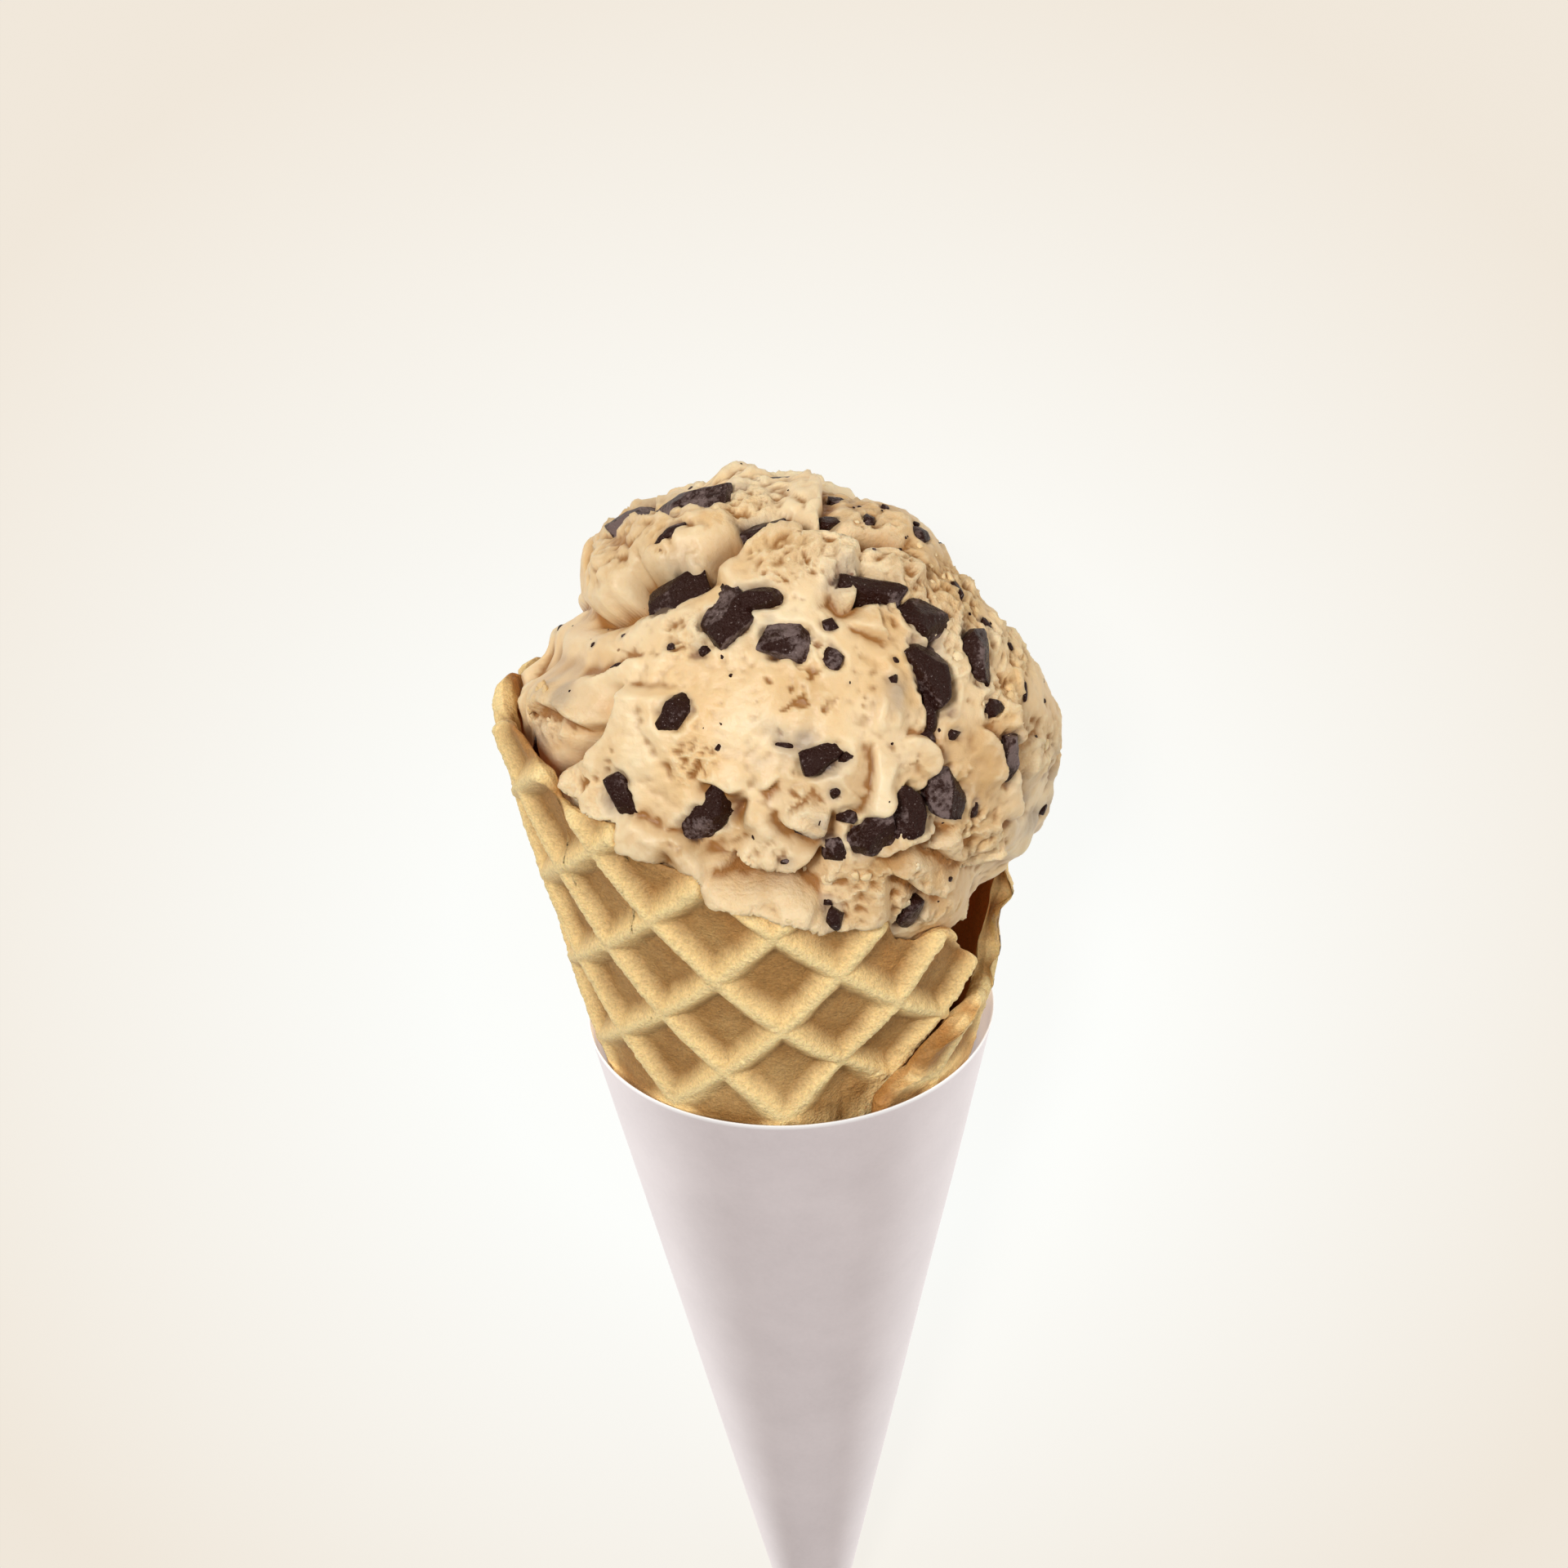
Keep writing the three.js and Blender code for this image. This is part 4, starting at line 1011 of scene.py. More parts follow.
def seats(rows):
    """Middles, long and short axes and half sizes of chunks or chips given as rows of right, up,
    length, width, depth, turn and side."""
    rows = np.array(rows, float)
    out = towards(rows[:, 0], rows[:, 1], rows[:, 6])
    level = unit(np.array([1.0, 0, 0]) - out * out[:, :1])
    turn = np.radians(rows[:, 5])[:, None]
    long_way = level * np.cos(turn) + np.cross(out, level) * np.sin(turn)
    return out, long_way, np.cross(out, long_way), rows[:, 2:5] / 2


def seat_rows(ways, length, width, share, turn):
    """Rows for seats() of chips in given directions, whose depth is a share of their width."""
    right, up, out = on_face(ways) * SCOOP_RADIUS
    return np.stack((right, up, length, width, share * width, turn, np.where(out < 0, -1, 1)), -1)


def sunk_seats(directions, height, layers, rows):
    """Presses the cream in under each chunk, with a narrow moat round its outline, and notes where
    melted chocolate greys the cream beside it, the patches of denser, browner cream and painted shade,
    and painted shade on the cream under each chunk."""
    place = directions * SCOOP_RADIUS
    uneven = 0.38 * noise(place, 1.9, 47) + 0.2 * noise(place, 0.8, 48)
    right, up, out = on_face(place)
    shown = smooth(out, -4, 2)
    smudge, chunk_seat_shade, tan_and_shade = np.zeros((3, len(place)))
    for away, _ in patches(SMUDGES, right, up, 0.4 * noise(place, 2, 50)):
        smudge = np.maximum(smudge, bell(away) * shown)
    for away, (share,) in patches(TAN_AND_SHADE, right, up, 0.3 * noise(place, 4, 51)):
        tan_and_shade = np.maximum(tan_and_shade, share * bell(away) * shown)
    for way, long_way, short_way, half in zip(*seats(rows)):
        close = np.flatnonzero(directions @ way > 1 - ((half[0] + 3) / SCOOP_RADIUS) ** 2 * 0.75)
        if not len(close):
            continue
        x = place[close] @ long_way / half[0]
        y = place[close] @ short_way / half[1]
        far = (np.abs(x) ** 2.6 + np.abs(y) ** 2.6) ** (1 / 2.6) + uneven[close]
        size = math.sqrt(half[0] * half[1])
        gap = (far - 1) * size
        height[close] -= min(0.8, 0.4 * half[2]) * smooth(-gap, -0.1, 0.35)
        height[close] -= 0.35 * min(1, size) * bell((gap - 0.1) / 0.3)
        height[close] += 0.1 * min(1, size) * bell((gap - 0.9) / 0.6)
        melted = 0.7 * bell(np.maximum(gap, 0) / (0.4 + 0.2 * size))
        smudge[close] = np.maximum(smudge[close], melted)
        # painted shade on the cream under the chunk
        chunk_seat_shade[close] = np.maximum(chunk_seat_shade[close], smooth(-gap, 0.25, 0.6))
    layers["smudge"] = smudge * smooth(noise(place, 3.5, 49) + 0.35, -0.1, 0.8)
    layers["chunk_seat_shade"] = chunk_seat_shade
    # the patches of denser cream and painted shade, and browner towards the back
    layers["tan_and_shade"] = np.maximum(tan_and_shade, 0.2 * smooth(-out, 0, 12))
    return height


def all_chips():
    """The shown chips, and as many for their area on the sides and the back, at seeded places."""
    random = np.random.default_rng(7)
    shown = [(x, y, length, width, CHIP_DEPTH * width, turn, 1) for x, y, length, width, turn in CHIPS]
    spots = 150
    k = np.arange(spots) + 0.5
    lift = 1 - 2 * k / spots
    around = np.pi * (1 + 5**0.5) * k + random.normal(0, 0.1, spots)
    ring = np.sqrt(1 - lift**2)
    ways = np.stack((ring * np.cos(around), ring * np.sin(around), lift), -1)
    ways = unit(ways + random.normal(0, 0.06, ways.shape))
    out = (on_face(ways) * SCOOP_RADIUS)[2]
    wall, above = wall_distance(ways, RIM.T)
    free = (out < 3) & ((wall > SCOOP_RADIUS + 1) | (above > 2)) & (ways @ DOWN < 0.9)
    free &= (ways @ seats(CHUNKS)[0].T).max(1) < 0.975
    length = 0.8 + 2.6 * random.random(spots) ** 2.2
    width = length * (0.45 + 0.45 * random.random(spots))
    others = seat_rows(ways, length, width, CHIP_DEPTH, random.uniform(-90, 90, spots))[free]
    return np.concatenate((np.array(shown), others))


def cream_radius(directions, settings, rows=None):
    """Radius of the ice cream in the given directions, and its colour layers.

    The ball with its relief, held in by the waffle's inner face below the rim; above the rim the
    limit moves outwards, so that the cream rolls over it.
    """
    height, layers = relief(directions, settings)
    if rows is not None:
        height = sunk_seats(directions, height, layers, rows)
    azimuths = np.linspace(RIM[0, 0], RIM[-1, 0], 721)
    wall, above = wall_distance(directions, (azimuths, rim_slant(azimuths)))
    place = directions * SCOOP_RADIUS
    limit = wall + np.maximum(0, above - 0.5 + 0.3 * noise(place, 3, 58)) * 2.6
    reach, low, high = SPILL
    turn = np.degrees(np.arctan2(directions[:, 1], directions[:, 0]))
    spill = smooth(turn, low - 5, low + 3) * smooth(-turn, -high - 5, 3 - high)
    spill = spill * reach * bell((above - 1.8) / 3) * (0.9 + 0.5 * noise(place, 4, 56))
    free = SCOOP_RADIUS + height + spill
    layers["lean"] = layers["lean"] * smooth(limit - free, -1.5, 0)
    layers["bare"] = smooth(limit - free, -2.5, -0.5) * smooth(above, -1, 0.5)
    return np.minimum(free, limit), layers


def ball_grid(count):
    """Unit directions all round, from six square grids of equal angles blown up to a ball, with the
    shared edges merged, and closer together on the shown side."""
    t = np.tan(np.linspace(-1, 1, count + 1) * np.pi / 4)
    a, b = (g.ravel()[:, None] for g in np.meshgrid(t, t, indexing="ij"))
    x, y, z = np.eye(3)
    sides = ((x, y, z), (y, z, x), (z, x, y), (-x, z, y), (-y, x, z), (-z, y, x))
    ball = unit(np.concatenate([w + a * u + b * v for w, u, v in sides]))
    same = np.round(ball * 1e5).astype(int)
    _, first, number = np.unique(same, axis=0, return_index=True, return_inverse=True)
    patch = (count + 1) ** 2
    faces = np.concatenate([grid_faces(count + 1, count + 1, k * patch) for k in range(6)])
    ball = ball[first] @ FACE + 0.36 * FACE[2] + 0.06 * FACE[1]
    return unit(ball), number.ravel()[faces]


def corner_sums(faces, values, count):
    """Sum, for each of so many points, of the values of its four-sided faces."""
    return np.stack([np.bincount(faces.ravel(), np.repeat(column, 4), count) for column in values.T], -1)


def leaned(points, lean):
    """Lets the lips of folds hang over their crevices: points move in the face by their lean."""
    return points + 0.38 * (lean[0][:, None] * FACE[0] + lean[1][:, None] * FACE[1])


def outward(points, faces):
    """Unit normals at points: the sum of the cross products of the diagonals of their faces."""
    across = np.cross(points[faces[:, 2]] - points[faces[:, 0]], points[faces[:, 3]] - points[faces[:, 1]])
    total = unit(corner_sums(faces, across, len(points)))
    return total * np.sign(np.einsum("ij,ij->", total, points - points.mean(0)))


def cavity(points, faces, normals, rounds):
    """How far each point lies under the surface smoothed by its neighbours, in mm; under 0 on peaks.

    A round replaces each point by the mean of the middles of its faces.
    """
    count = np.bincount(faces.ravel(), minlength=len(points))
    even = points
    for _ in range(rounds):
        even = corner_sums(faces, even[faces].mean(1), len(points)) / count[:, None]
    return np.einsum("ij,ij->i", even - points, normals)


def frozen_cream(settings):
    """Churned ice cream just under freezing: light scatters a little way into the fat, so the shadows
    are warm; smooth and faintly wet where the scoop pressed it, dull and frosty where it tore; greyed
    where chocolate has rubbed into it, and dusted with the finest chocolate. Painted shade darkens its
    crevices, pits and the cream under the chunks; its browner patches are partly denser cream and
    partly painted shade; frost and a painted highlight make its peaks paler."""
    material, tree = new_material("churned_ice_cream")
    place = add(tree, "TexCoord").outputs["Object"]
    crevice_shade, torn, smudge, chunk_seat_shade, tan_and_shade, frost_and_highlight_on_peaks = [
        add(tree, "Attribute", attribute_name=name).outputs["Fac"]
        for name in ("crevice_shade", "torn", "smudge", "chunk_seat_shade", "tan_and_shade", "frost_and_highlight_on_peaks")
    ]
    clouds = {"Vector": place, "Scale": 1 / 0.011, "Detail": 3.0, "Roughness": 0.5, "Distortion": 0.6}
    clouds = add(tree, "TexNoise", clouds)
    fine = add(tree, "TexNoise", {"Vector": place, "Scale": 1 / 0.0011, "Detail": 3.0, "Roughness": 0.6})
    crystals = add(tree, "TexNoise", {"Vector": place, "Scale": 1 / 0.0004, "Detail": 2.0})

    warmth = add(tree, "MapRange", {"Value": clouds, "From Min": 0.35, "From Max": 0.65})
    # frost and a painted highlight on the peaks
    frost = add(tree, "Math", {0: fine, 1: frost_and_highlight_on_peaks}, operation="MULTIPLY")
    frost = add(tree, "MapRange", {"Value": frost, "From Min": 0.15, "From Max": 0.65, "To Max": 0.38})
    shaded = add(tree, "Math", {0: crevice_shade, 1: 0.94}, operation="MULTIPLY")
    greyed = add(tree, "Math", {0: smudge, 1: 0.62}, operation="MULTIPLY")
    # painted shade under the chunks
    seat = add(tree, "Math", {0: chunk_seat_shade, 1: 0.9}, operation="MULTIPLY")
    # chocolate dust: in some cells of a 2.6 mm net a round brown speck of about 0.4 mm
    dots = add(tree, "TexVoronoi", {"Vector": place, "Scale": 1 / 0.0026, "Randomness": 1.0})
    chosen = add(tree, "Math", {0: dots.outputs["Color"], 1: 0.8}, operation="GREATER_THAN")
    near = {"Value": dots.outputs["Distance"], "From Min": 0.1, "From Max": 0.055, "To Max": 0.75}
    dusted = add(tree, "Math", {0: chosen, 1: add(tree, "MapRange", near)}, operation="MULTIPLY")
    colour = rgba(settings.pale_colour)
    for share, over in (
        (warmth, settings.warm_colour),
        # denser, browner cream and painted shade
        (tan_and_shade, linear("#C1965E")),
        (frost, linear("#FCEBC6")),
        # painted shade in crevices and pits
        (shaded, settings.crevice_shade_colour),
        (greyed, linear("#9B8C80")),
        (seat, linear("#4A3226")),
        (dusted, linear("#7A4A2C")),
    ):
        colour = add(tree, "Mix", {0: share, 6: colour, 7: rgba(over)}, data_type="RGBA")

    grit = add(tree, "Math", {0: crystals, 1: 0.5, 2: fine}, operation="MULTIPLY_ADD")
    rough = add(tree, "Math", {0: torn, 1: 0.45}, operation="ADD")
    grit = add(tree, "Math", {0: grit, 1: rough}, operation="MULTIPLY")
    shader = {
        "Base Color": colour,
        "Roughness": add(tree, "MapRange", {"Value": torn, "To Min": 0.42, "To Max": 0.62}),
        "IOR": 1.36,
        "Subsurface Weight": 0.25,
        "Subsurface Radius": (1.0, 0.7, 0.4),
        "Subsurface Scale": 0.0011,
        "Normal": add(tree, "Bump", {"Height": grit, "Strength": 0.6, "Distance": 0.0003}),
    }
    add(tree, "OutputMaterial", {"Surface": add(tree, "BsdfPrincipled", shader)})
    return material


class CreamSettings(bpy.types.PropertyGroup):
    relief: FloatProperty(
        name="Relief", description="Strength of folds, ledges and torn crumb", default=1.0, min=0, max=2
    )
    warm_colour: FloatVectorProperty(
        name="Warm cream", description="Denser cream", default=linear("#EDC790"), subtype="COLOR"
    )
    pale_colour: FloatVectorProperty(
        name="Pale cream", description="Airy cream", default=linear("#FAE2B8"), subtype="COLOR"
    )
    # painted shade in crevices and pits
    crevice_shade_colour: FloatVectorProperty(
        name="Hollows", description="In crevices and pits", default=linear("#9C662B"), subtype="COLOR"
    )
    crumbs: IntProperty(name="Crumbs", description="Torn crumbs of ice cream", default=110, min=1)


class CONE_OT_ice_cream(bpy.types.Operator):
    """Makes the scoop with its folds, torn patches and seats for the chocolate"""

    bl_idname = "cone.ice_cream"
    bl_label = "Ice cream"

    def execute(self, context):
        settings = context.scene.cone_cream
        directions, faces = ball_grid(SCOOP_CELLS)
        rows = np.concatenate((np.array(CHUNKS, float), all_chips()))
        radius, layers = cream_radius(directions, settings, rows)
        radius = np.minimum(radius, (SCOOP_MIDDLE[2] - FILL_END) / np.maximum(-directions[:, 2], 1e-3))
        points = leaned(directions * radius[:, None], layers.pop("lean"))
        fine = fine_relief(points, layers["torn"])
        normals = outward(points, faces)
        # steep walls get less of the fine relief, and seats for the chocolate none
        level = np.einsum("ij,ij->i", normals, directions)
        strength = settings.relief * layers.pop("bare") * (1 - layers["chunk_seat_shade"]) * smooth(level, 0.72, 0.97)
        points = points + normals * (fine * strength)[:, None]
        sunk = cavity(points, faces, normals, 12)
        # painted shade in crevices, hollows and pits, deeper where a point lies further under its smoothed
        # neighbours
        layers["crevice_shade"] = np.clip(0.85 * layers["crevice_shade"] ** 2 + smooth(sunk, -0.02, 0.3), 0, 1)
        # frost and a painted highlight on the peaks
        layers["frost_and_highlight_on_peaks"] = smooth(-sunk, 0.03, 0.25)
        points = on_floor(points + SCOOP_MIDDLE)
        make_piece("scoop", points, [faces], frozen_cream(settings), ["ice_cream"], layers)
        return {"FINISHED"}


def broken_lumps(seating, radius, sunk, detail, seed):
    """Lumps with flat broken sides, all in one array.

    In a direction d a lump of half size 1 reaches the power mean of its sides, where side n at
    distance h gives max(d.n, 0) / h: a high power keeps the edges sharp. It is then stretched to
    its half sizes, turned to its seat and sunk into the surface by a share of its depth. Each side
    has a random tone of its own.
    """
    out, long_way, short_way, half = seating
    random = np.random.default_rng(seed)
    rings, columns = detail
    count = len(out)
    polar = np.linspace(0, np.pi, rings + 2)[1:-1, None]
    around = np.arange(columns) * 2 * np.pi / columns
    grid = np.sin(polar) * np.cos(around), np.sin(polar) * np.sin(around), np.cos(polar) + 0 * around
    ways = np.concatenate((np.stack(grid, -1).reshape(-1, 3), [(0, 0, 1), (0, 0, -1)]))
    box = np.concatenate((np.eye(3), -np.eye(3)))
    broken = random.normal(0, 1, (count, 5, 3))
    broken[:, :3, 2] = np.abs(broken[:, :3, 2]) + 0.8
    sides = np.concatenate((np.broadcast_to(box, (count, 6, 3)), broken), 1)
    sides = unit(sides + random.normal(0, 0.24, sides.shape))
    reach = random.uniform(0.85, 1.05, (count, 6)), random.uniform(0.75, 1.05, (count, 5))
    reach = np.concatenate(reach, 1)
    push = np.maximum(np.einsum("kjc,mc->kmj", sides, ways), 0) / reach[:, None, :]
    body = (push**36).sum(2) ** (-1 / 36)
    tone = np.take_along_axis(random.uniform(-0.2, 0.2, (count, 11)), push.argmax(2), 1)
    local = ways[None] * body[..., None]
    local = local * half[:, None, :]
    axes = np.stack((long_way, short_way, out), 1)
    middle = SCOOP_MIDDLE + out * (radius - sunk * 2 * half[:, 2])[:, None]
    points = np.einsum("kmc,kcx->kmx", local, axes) + middle[:, None]
    bumps = 0.14 * noise(points, 2.1, seed) + 0.09 * noise(points, 0.9, seed + 1)
    bumps = bumps + 0.04 * noise(points, 0.4, seed + 2)
    bumps = bumps * np.minimum(1, half[:, 1] / 1.4)[:, None]
    points = points + bumps[..., None] * np.einsum("mc,kcx->kmx", ways, axes)
    size = len(ways)
    first = np.arange(count)[:, None, None] * size
    walls = (grid_faces(rings, columns, wrapped=True)[None] + first).reshape(-1, 4)
    top = fan_faces(0, size - 2, columns, True)
    bottom = fan_faces((rings - 1) * columns, size - 1, columns, False)
    caps = (np.concatenate((top, bottom))[None] + first).reshape(-1, 3)
    return points.reshape(-1, 3), [walls, caps], tone.ravel()


def dark_chocolate(settings):
    """Dark couverture broken while cold: nearly black brown, satin where it was moulded, dull and
    slightly grey where it broke or where frost has settled."""
    material, tree = new_material("dark_chocolate")
    place = add(tree, "TexCoord").outputs["Object"]
    frosted = add(tree, "Attribute", attribute_name="frosted").outputs["Fac"]
    clouds = add(tree, "TexNoise", {"Vector": place, "Scale": 1 / 0.003, "Detail": 3.0, "Roughness": 0.6})
    fine = add(tree, "TexNoise", {"Vector": place, "Scale": 1 / 0.0005, "Detail": 3.0, "Roughness": 0.65})
    mixed = add(tree, "Math", {0: fine, 1: 0.7, 2: clouds}, operation="MULTIPLY_ADD")
    mixed = add(tree, "Math", {0: mixed, 1: -0.13}, operation="ADD")
    mixed = add(tree, "Math", {0: mixed, 1: frosted}, operation="ADD")
    frost = add(tree, "MapRange", {"Value": mixed, "From Min": 0.82, "From Max": 1.04, "To Max": 0.75})
    # ice crystals: pale dots of a quarter of a millimetre
    ice = add(tree, "TexNoise", {"Vector": place, "Scale": 1 / 0.00028, "Detail": 1.0})
    dusted = add(tree, "MapRange", {"Value": ice, "From Min": 0.69, "From Max": 0.77, "To Max": 0.5})
    colour = rgba(settings.colour)
    for share, over in ((frost, settings.frost_colour), (dusted, linear("#B5A49E"))):
        colour = add(tree, "Mix", {0: share, 6: colour, 7: rgba(over)}, data_type="RGBA")
    dull = {"Value": mixed, "From Min": 0.55, "From Max": 0.95, "To Min": 0.18, "To Max": 0.5}
    shader = {
        "Base Color": colour,
        "Roughness": add(tree, "MapRange", dull),
        "Specular IOR Level": 0.22,
        "Specular Tint": (1, 0.78, 0.68, 1),
        "Normal": add(tree, "Bump", {"Height": fine, "Strength": 1.0, "Distance": 0.00035}),
    }
    add(tree, "OutputMaterial", {"Surface": add(tree, "BsdfPrincipled", shader)})
    return material


class ChocolateSettings(bpy.types.PropertyGroup):
    colour: FloatVectorProperty(
        name="Chocolate", description="Dark chocolate", default=linear("#29110C"), subtype="COLOR"
    )
    frost_colour: FloatVectorProperty(
        name="Frost", description="Frosted faces", default=linear("#84716D"), subtype="COLOR"
    )
    specks: IntProperty(
        name="Specks", description="Specks of chocolate all round the scoop", default=130, min=1
    )


def surface_radius(seating, settings):
    """Radius of the cream under each seat: the mean of its middle and four places round it."""
    out, long_way, short_way, half = seating
    total = 0
    for x, y in ((0, 0), (0.6, 0), (-0.6, 0), (0, 0.6), (0, -0.6)):
        ways = out + (x * half[:, :1] * long_way + y * half[:, 1:2] * short_way) / SCOOP_RADIUS
        total = total + cream_radius(unit(ways), settings)[0]
    return total / 5


class CONE_OT_chunks(bpy.types.Operator):
    """Makes the larger chocolate chunks, one piece each"""

    bl_idname = "cone.chunks"
    bl_label = "Chocolate chunks"

    def execute(self, context):
        material = dark_chocolate(context.scene.cone_chocolate)
        seating = seats(CHUNKS)
        radius = surface_radius(seating, context.scene.cone_cream) + np.array(RAISED)
        for i in range(len(CHUNKS)):
            one = [part[i : i + 1] for part in seating]
            points, faces, tone = broken_lumps(one, radius[i : i + 1], CHUNK_SUNK, (30, 44), 100 + i)
            name = f"chunk_{i + 1:02d}"
            frosted = {"frosted": FROSTED[i] + tone}
            make_piece(name, points, faces, material, ["chocolate_" + name], frosted)
        return {"FINISHED"}


class CONE_OT_chips(bpy.types.Operator):
    """Makes the smaller chips of chocolate as one piece"""

    bl_idname = "cone.chips"
    bl_label = "Chocolate chips"

    def execute(self, context):
        seating = seats(all_chips())
        radius = surface_radius(seating, context.scene.cone_cream)
        points, faces, tone = broken_lumps(seating, radius, 0.26, (11, 16), 300)
        material = bpy.data.materials["dark_chocolate"]
        make_piece("chips", points, faces, material, attributes={"frosted": tone})
        return {"FINISHED"}


def scattered(count, seed, keep):
    """Seeded directions all round the scoop that a test keeps, clear of the cone."""
    random = np.random.default_rng(seed)
    ways = unit(random.normal(0, 1, (count * 12, 3)))
    wall, above = wall_distance(ways, RIM.T)
    free = ((wall > SCOOP_RADIUS + 1) | (above > 1.5)) & (ways @ DOWN < 0.93)
    ways = ways[free & keep(ways, random)]
    if len(ways) < count:
        raise RuntimeError("too few places for the scattered pieces")
    return ways[:count], random


class CONE_OT_specks(bpy.types.Operator):
    """Scatters specks of chocolate as one piece"""

    bl_idname = "cone.specks"
    bl_label = "Chocolate specks"

    def execute(self, context):
        count = context.scene.cone_chocolate.specks

        def crowded(ways, random):
            return noise(ways * SCOOP_RADIUS, 9, 5) + random.normal(0, 0.3, len(ways)) > 0.1

        ways, random = scattered(count, 11, crowded)
        length = 0.3 + 0.7 * random.random(count) ** 3
        width = length * random.uniform(0.5, 1, count)
        seating = seats(seat_rows(ways, length, width, CHIP_DEPTH, random.uniform(-90, 90, count)))
        radius = surface_radius(seating, context.scene.cone_cream)
        points, faces, _ = broken_lumps(seating, radius, 0.25, (4, 7), 500)
        make_piece("specks", points, faces, bpy.data.materials["dark_chocolate"])
        return {"FINISHED"}


class CONE_OT_crumbs(bpy.types.Operator):
    """Scatters torn crumbs of ice cream over the rough patches as one piece"""

    bl_idname = "cone.crumbs"
    bl_label = "Ice cream crumbs"

    def execute(self, context):
        settings = context.scene.cone_cream
        count = settings.crumbs

        def rough(ways, _):
            place = ways * SCOOP_RADIUS
            return torn_share(place, *on_face(place)) > 0.6

        ways, random = scattered(count, 13, rough)
        length = 0.5 + 1.3 * random.random(count) ** 2
        width = length * random.uniform(0.6, 1, count)
        seating = seats(seat_rows(ways, length, width, 0.7, random.uniform(-90, 90, count)))
        points, faces, _ = broken_lumps(seating, surface_radius(seating, settings), 0.3, (7, 10), 700)
        material = bpy.data.materials["churned_ice_cream"]
        torn = {"torn": np.ones(len(points))}
        make_piece("crumbs", points, faces, material, attributes=torn)
        return {"FINISHED"}


# ---- Stage ----

FLOOR_HALF = 3.0  # in metres
# The camera looks down on the shown side from 418 mm away, in the cone's own frame
LENS = 61.875
CAMERA_PLACE = (0, -288.277, 303.121)
CAMERA_TURN = (0.00081731, 0.48564922, -0.03864091)  # pan, tilt and roll


class StageSettings(bpy.types.PropertyGroup):
    floor_colour: FloatVectorProperty(
        name="Floor", description="Plain pale floor", default=linear("#FDFEFB"), subtype="COLOR"
    )
    # painted falloff of light: the colour the floor turns to further out
    floor_falloff_colour: FloatVectorProperty(
        name="Outer floor", description="Floor further out", default=linear("#F0E7DA"), subtype="COLOR"
    )
    floor_glow: FloatProperty(
        name="Floor glow", description="Share of the floor's light from below", default=0.93, min=0, max=1
    )
    key_power: FloatProperty(
        name="Main light", description="Large soft light above", default=8.8, unit="POWER"
    )
    fill_power: FloatProperty(
        name="Side light", description="Weak light from the right", default=2.2, unit="POWER"
    )
    sky: FloatProperty(name="Surrounding light", description="Even light from all round", default=0.24)


def area_light(name, place, power, size):
    """A square soft light at a place in the frame, aimed at the scoop."""
    data = bpy.data.lights.new(name, "AREA")
    data.energy = power
    data.size = size
    lamp = bpy.data.objects.new(name, data)
    bpy.context.scene.collection.objects.link(lamp)
    aim = Vector((0, 0.03, 0.03)) - Vector(place)
    lamp.matrix_world = Matrix.Translation(place) @ aim.to_track_quat("-Z", "Y").to_matrix().to_4x4()


def pale_sweep(settings):
    """Matt floor of opal acrylic lit from below: white round the cone and creamier towards the edges of
    the picture, a painted falloff of light, with only a faint shadow."""
    material, tree = new_material("backlit_opal_acrylic")
    place = add(tree, "TexCoord").outputs["Object"]
    away = add(tree, "VectorMath", {0: place, 1: (0, 0.02, 0)}, operation="DISTANCE")
    # painted falloff of light: creamier away from the cone
    far = add(tree, "MapRange", {"Value": away, "From Min": 0.045, "From Max": 0.135})
    inner, outer = rgba(settings.floor_colour), rgba(settings.floor_falloff_colour)
    shade = add(tree, "Mix", {0: far, 6: inner, 7: outer}, data_type="RGBA")
    glow = settings.floor_glow
    matt = add(tree, "Mix", {0: glow, 6: shade, 7: (0, 0, 0, 1)}, data_type="RGBA")
    shader = {
        "Base Color": matt,
        "Roughness": 0.9,
        "Specular IOR Level": 0.1,
        "Emission Color": shade,
        "Emission Strength": glow,
    }
    add(tree, "OutputMaterial", {"Surface": add(tree, "BsdfPrincipled", shader)})
    return material


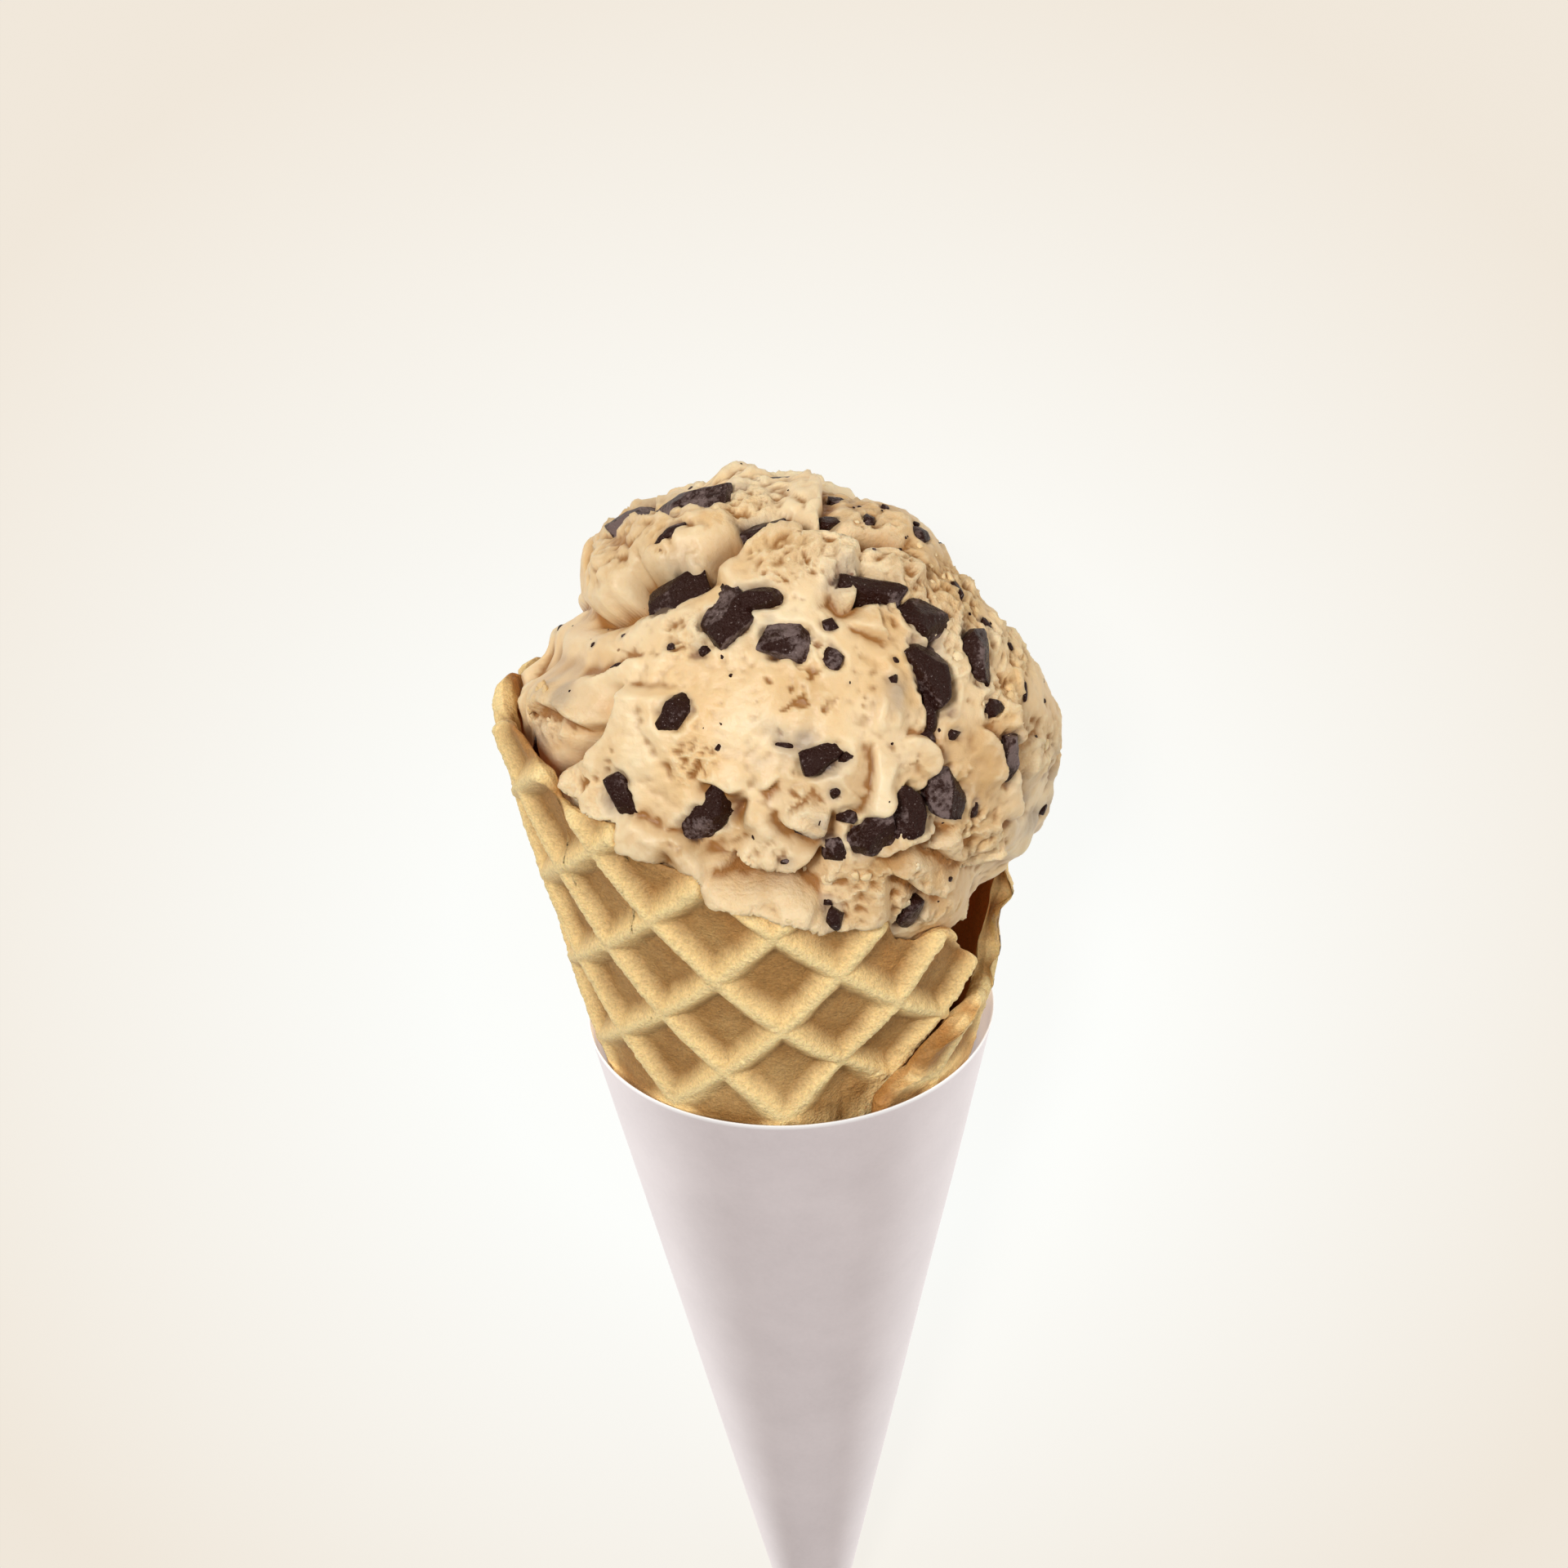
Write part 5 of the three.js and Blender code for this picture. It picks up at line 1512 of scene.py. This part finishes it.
class CONE_OT_stage(bpy.types.Operator):
    """Lays the floor and sets the lights and the camera"""

    bl_idname = "cone.stage"
    bl_label = "Stage"

    def execute(self, context):
        settings = context.scene.cone_stage
        mesh = bpy.data.meshes.new("floor")
        corners = [(x * FLOOR_HALF, y * FLOOR_HALF, 0) for x, y in ((-1, -1), (1, -1), (1, 1), (-1, 1))]
        mesh.from_pydata(corners, [], [(0, 1, 2, 3)])
        mesh.materials.append(pale_sweep(settings))
        floor = bpy.data.objects.new("floor", mesh)
        context.scene.collection.objects.link(floor)

        world = bpy.data.worlds.new("studio")
        world.use_nodes = True
        tree = world.node_tree
        tree.nodes.clear()
        sky = add(tree, "Background", {"Color": (1, 0.985, 0.965, 1), "Strength": settings.sky})
        add(tree, "OutputWorld", {"Surface": sky})
        context.scene.world = world
        area_light("main_light", (-0.36, 0.45, 1.0), settings.key_power, 0.28)
        area_light("side_light", (0.7, 0.05, 0.5), settings.fill_power, 0.5)

        camera = bpy.data.cameras.new("camera")
        camera.sensor_width = 36
        camera.lens = LENS
        camera.clip_start = 0.01
        seen = bpy.data.objects.new("camera", camera)
        context.scene.collection.objects.link(seen)
        pan, tilt, roll = CAMERA_TURN
        ahead = np.array([math.sin(pan) * math.cos(tilt), math.cos(pan) * math.cos(tilt), -math.sin(tilt)])
        level = np.array([math.cos(pan), -math.sin(pan), 0])
        raised = np.cross(level, ahead)
        right = turned(math.cos(roll) * level + math.sin(roll) * raised)
        up = turned(-math.sin(roll) * level + math.cos(roll) * raised)
        back = turned(-ahead)
        axes = Matrix((right, up, back)).transposed().to_4x4()
        seen.matrix_world = Matrix.Translation(Vector(lay(np.array(CAMERA_PLACE)))) @ axes
        context.scene.camera = seen
        context.scene.view_settings.view_transform = "Standard"
        return {"FINISHED"}


class CONE_PT_sidebar(bpy.types.Panel):
    """Lists the pieces of the cone with their sizes and colours"""

    bl_label = "Ice cream cone"
    bl_idname = "CONE_PT_sidebar"
    bl_space_type = "VIEW_3D"
    bl_region_type = "UI"
    bl_category = "Ice cream cone"

    def draw(self, context):
        for name, settings, operators in GROUPS:
            box = self.layout.box()
            values = getattr(context.scene, name)
            for key in settings.__annotations__:
                box.prop(values, key)
            for operator in operators:
                box.operator(operator.bl_idname)


GROUPS = (
    ("cone_stage", StageSettings, (CONE_OT_stage,)),
    ("cone_waffle", WaffleSettings, (CONE_OT_waffle,)),
    ("cone_sleeve", SleeveSettings, (CONE_OT_sleeve,)),
    ("cone_cream", CreamSettings, (CONE_OT_ice_cream, CONE_OT_crumbs)),
    ("cone_chocolate", ChocolateSettings, (CONE_OT_chunks, CONE_OT_chips, CONE_OT_specks)),
)


def register():
    for name, settings, operators in GROUPS:
        bpy.utils.register_class(settings)
        setattr(bpy.types.Scene, name, PointerProperty(type=settings))
        for operator in operators:
            bpy.utils.register_class(operator)
    bpy.utils.register_class(CONE_PT_sidebar)


def unregister():
    bpy.utils.unregister_class(CONE_PT_sidebar)
    for name, settings, operators in reversed(GROUPS):
        for operator in operators:
            bpy.utils.unregister_class(operator)
        delattr(bpy.types.Scene, name)
        bpy.utils.unregister_class(settings)


def main():
    register()
    for _, _, operators in GROUPS:
        for operator in operators:
            group, name = operator.bl_idname.split(".")
            getattr(getattr(bpy.ops, group), name)()


if __name__ == "__main__":
    main()
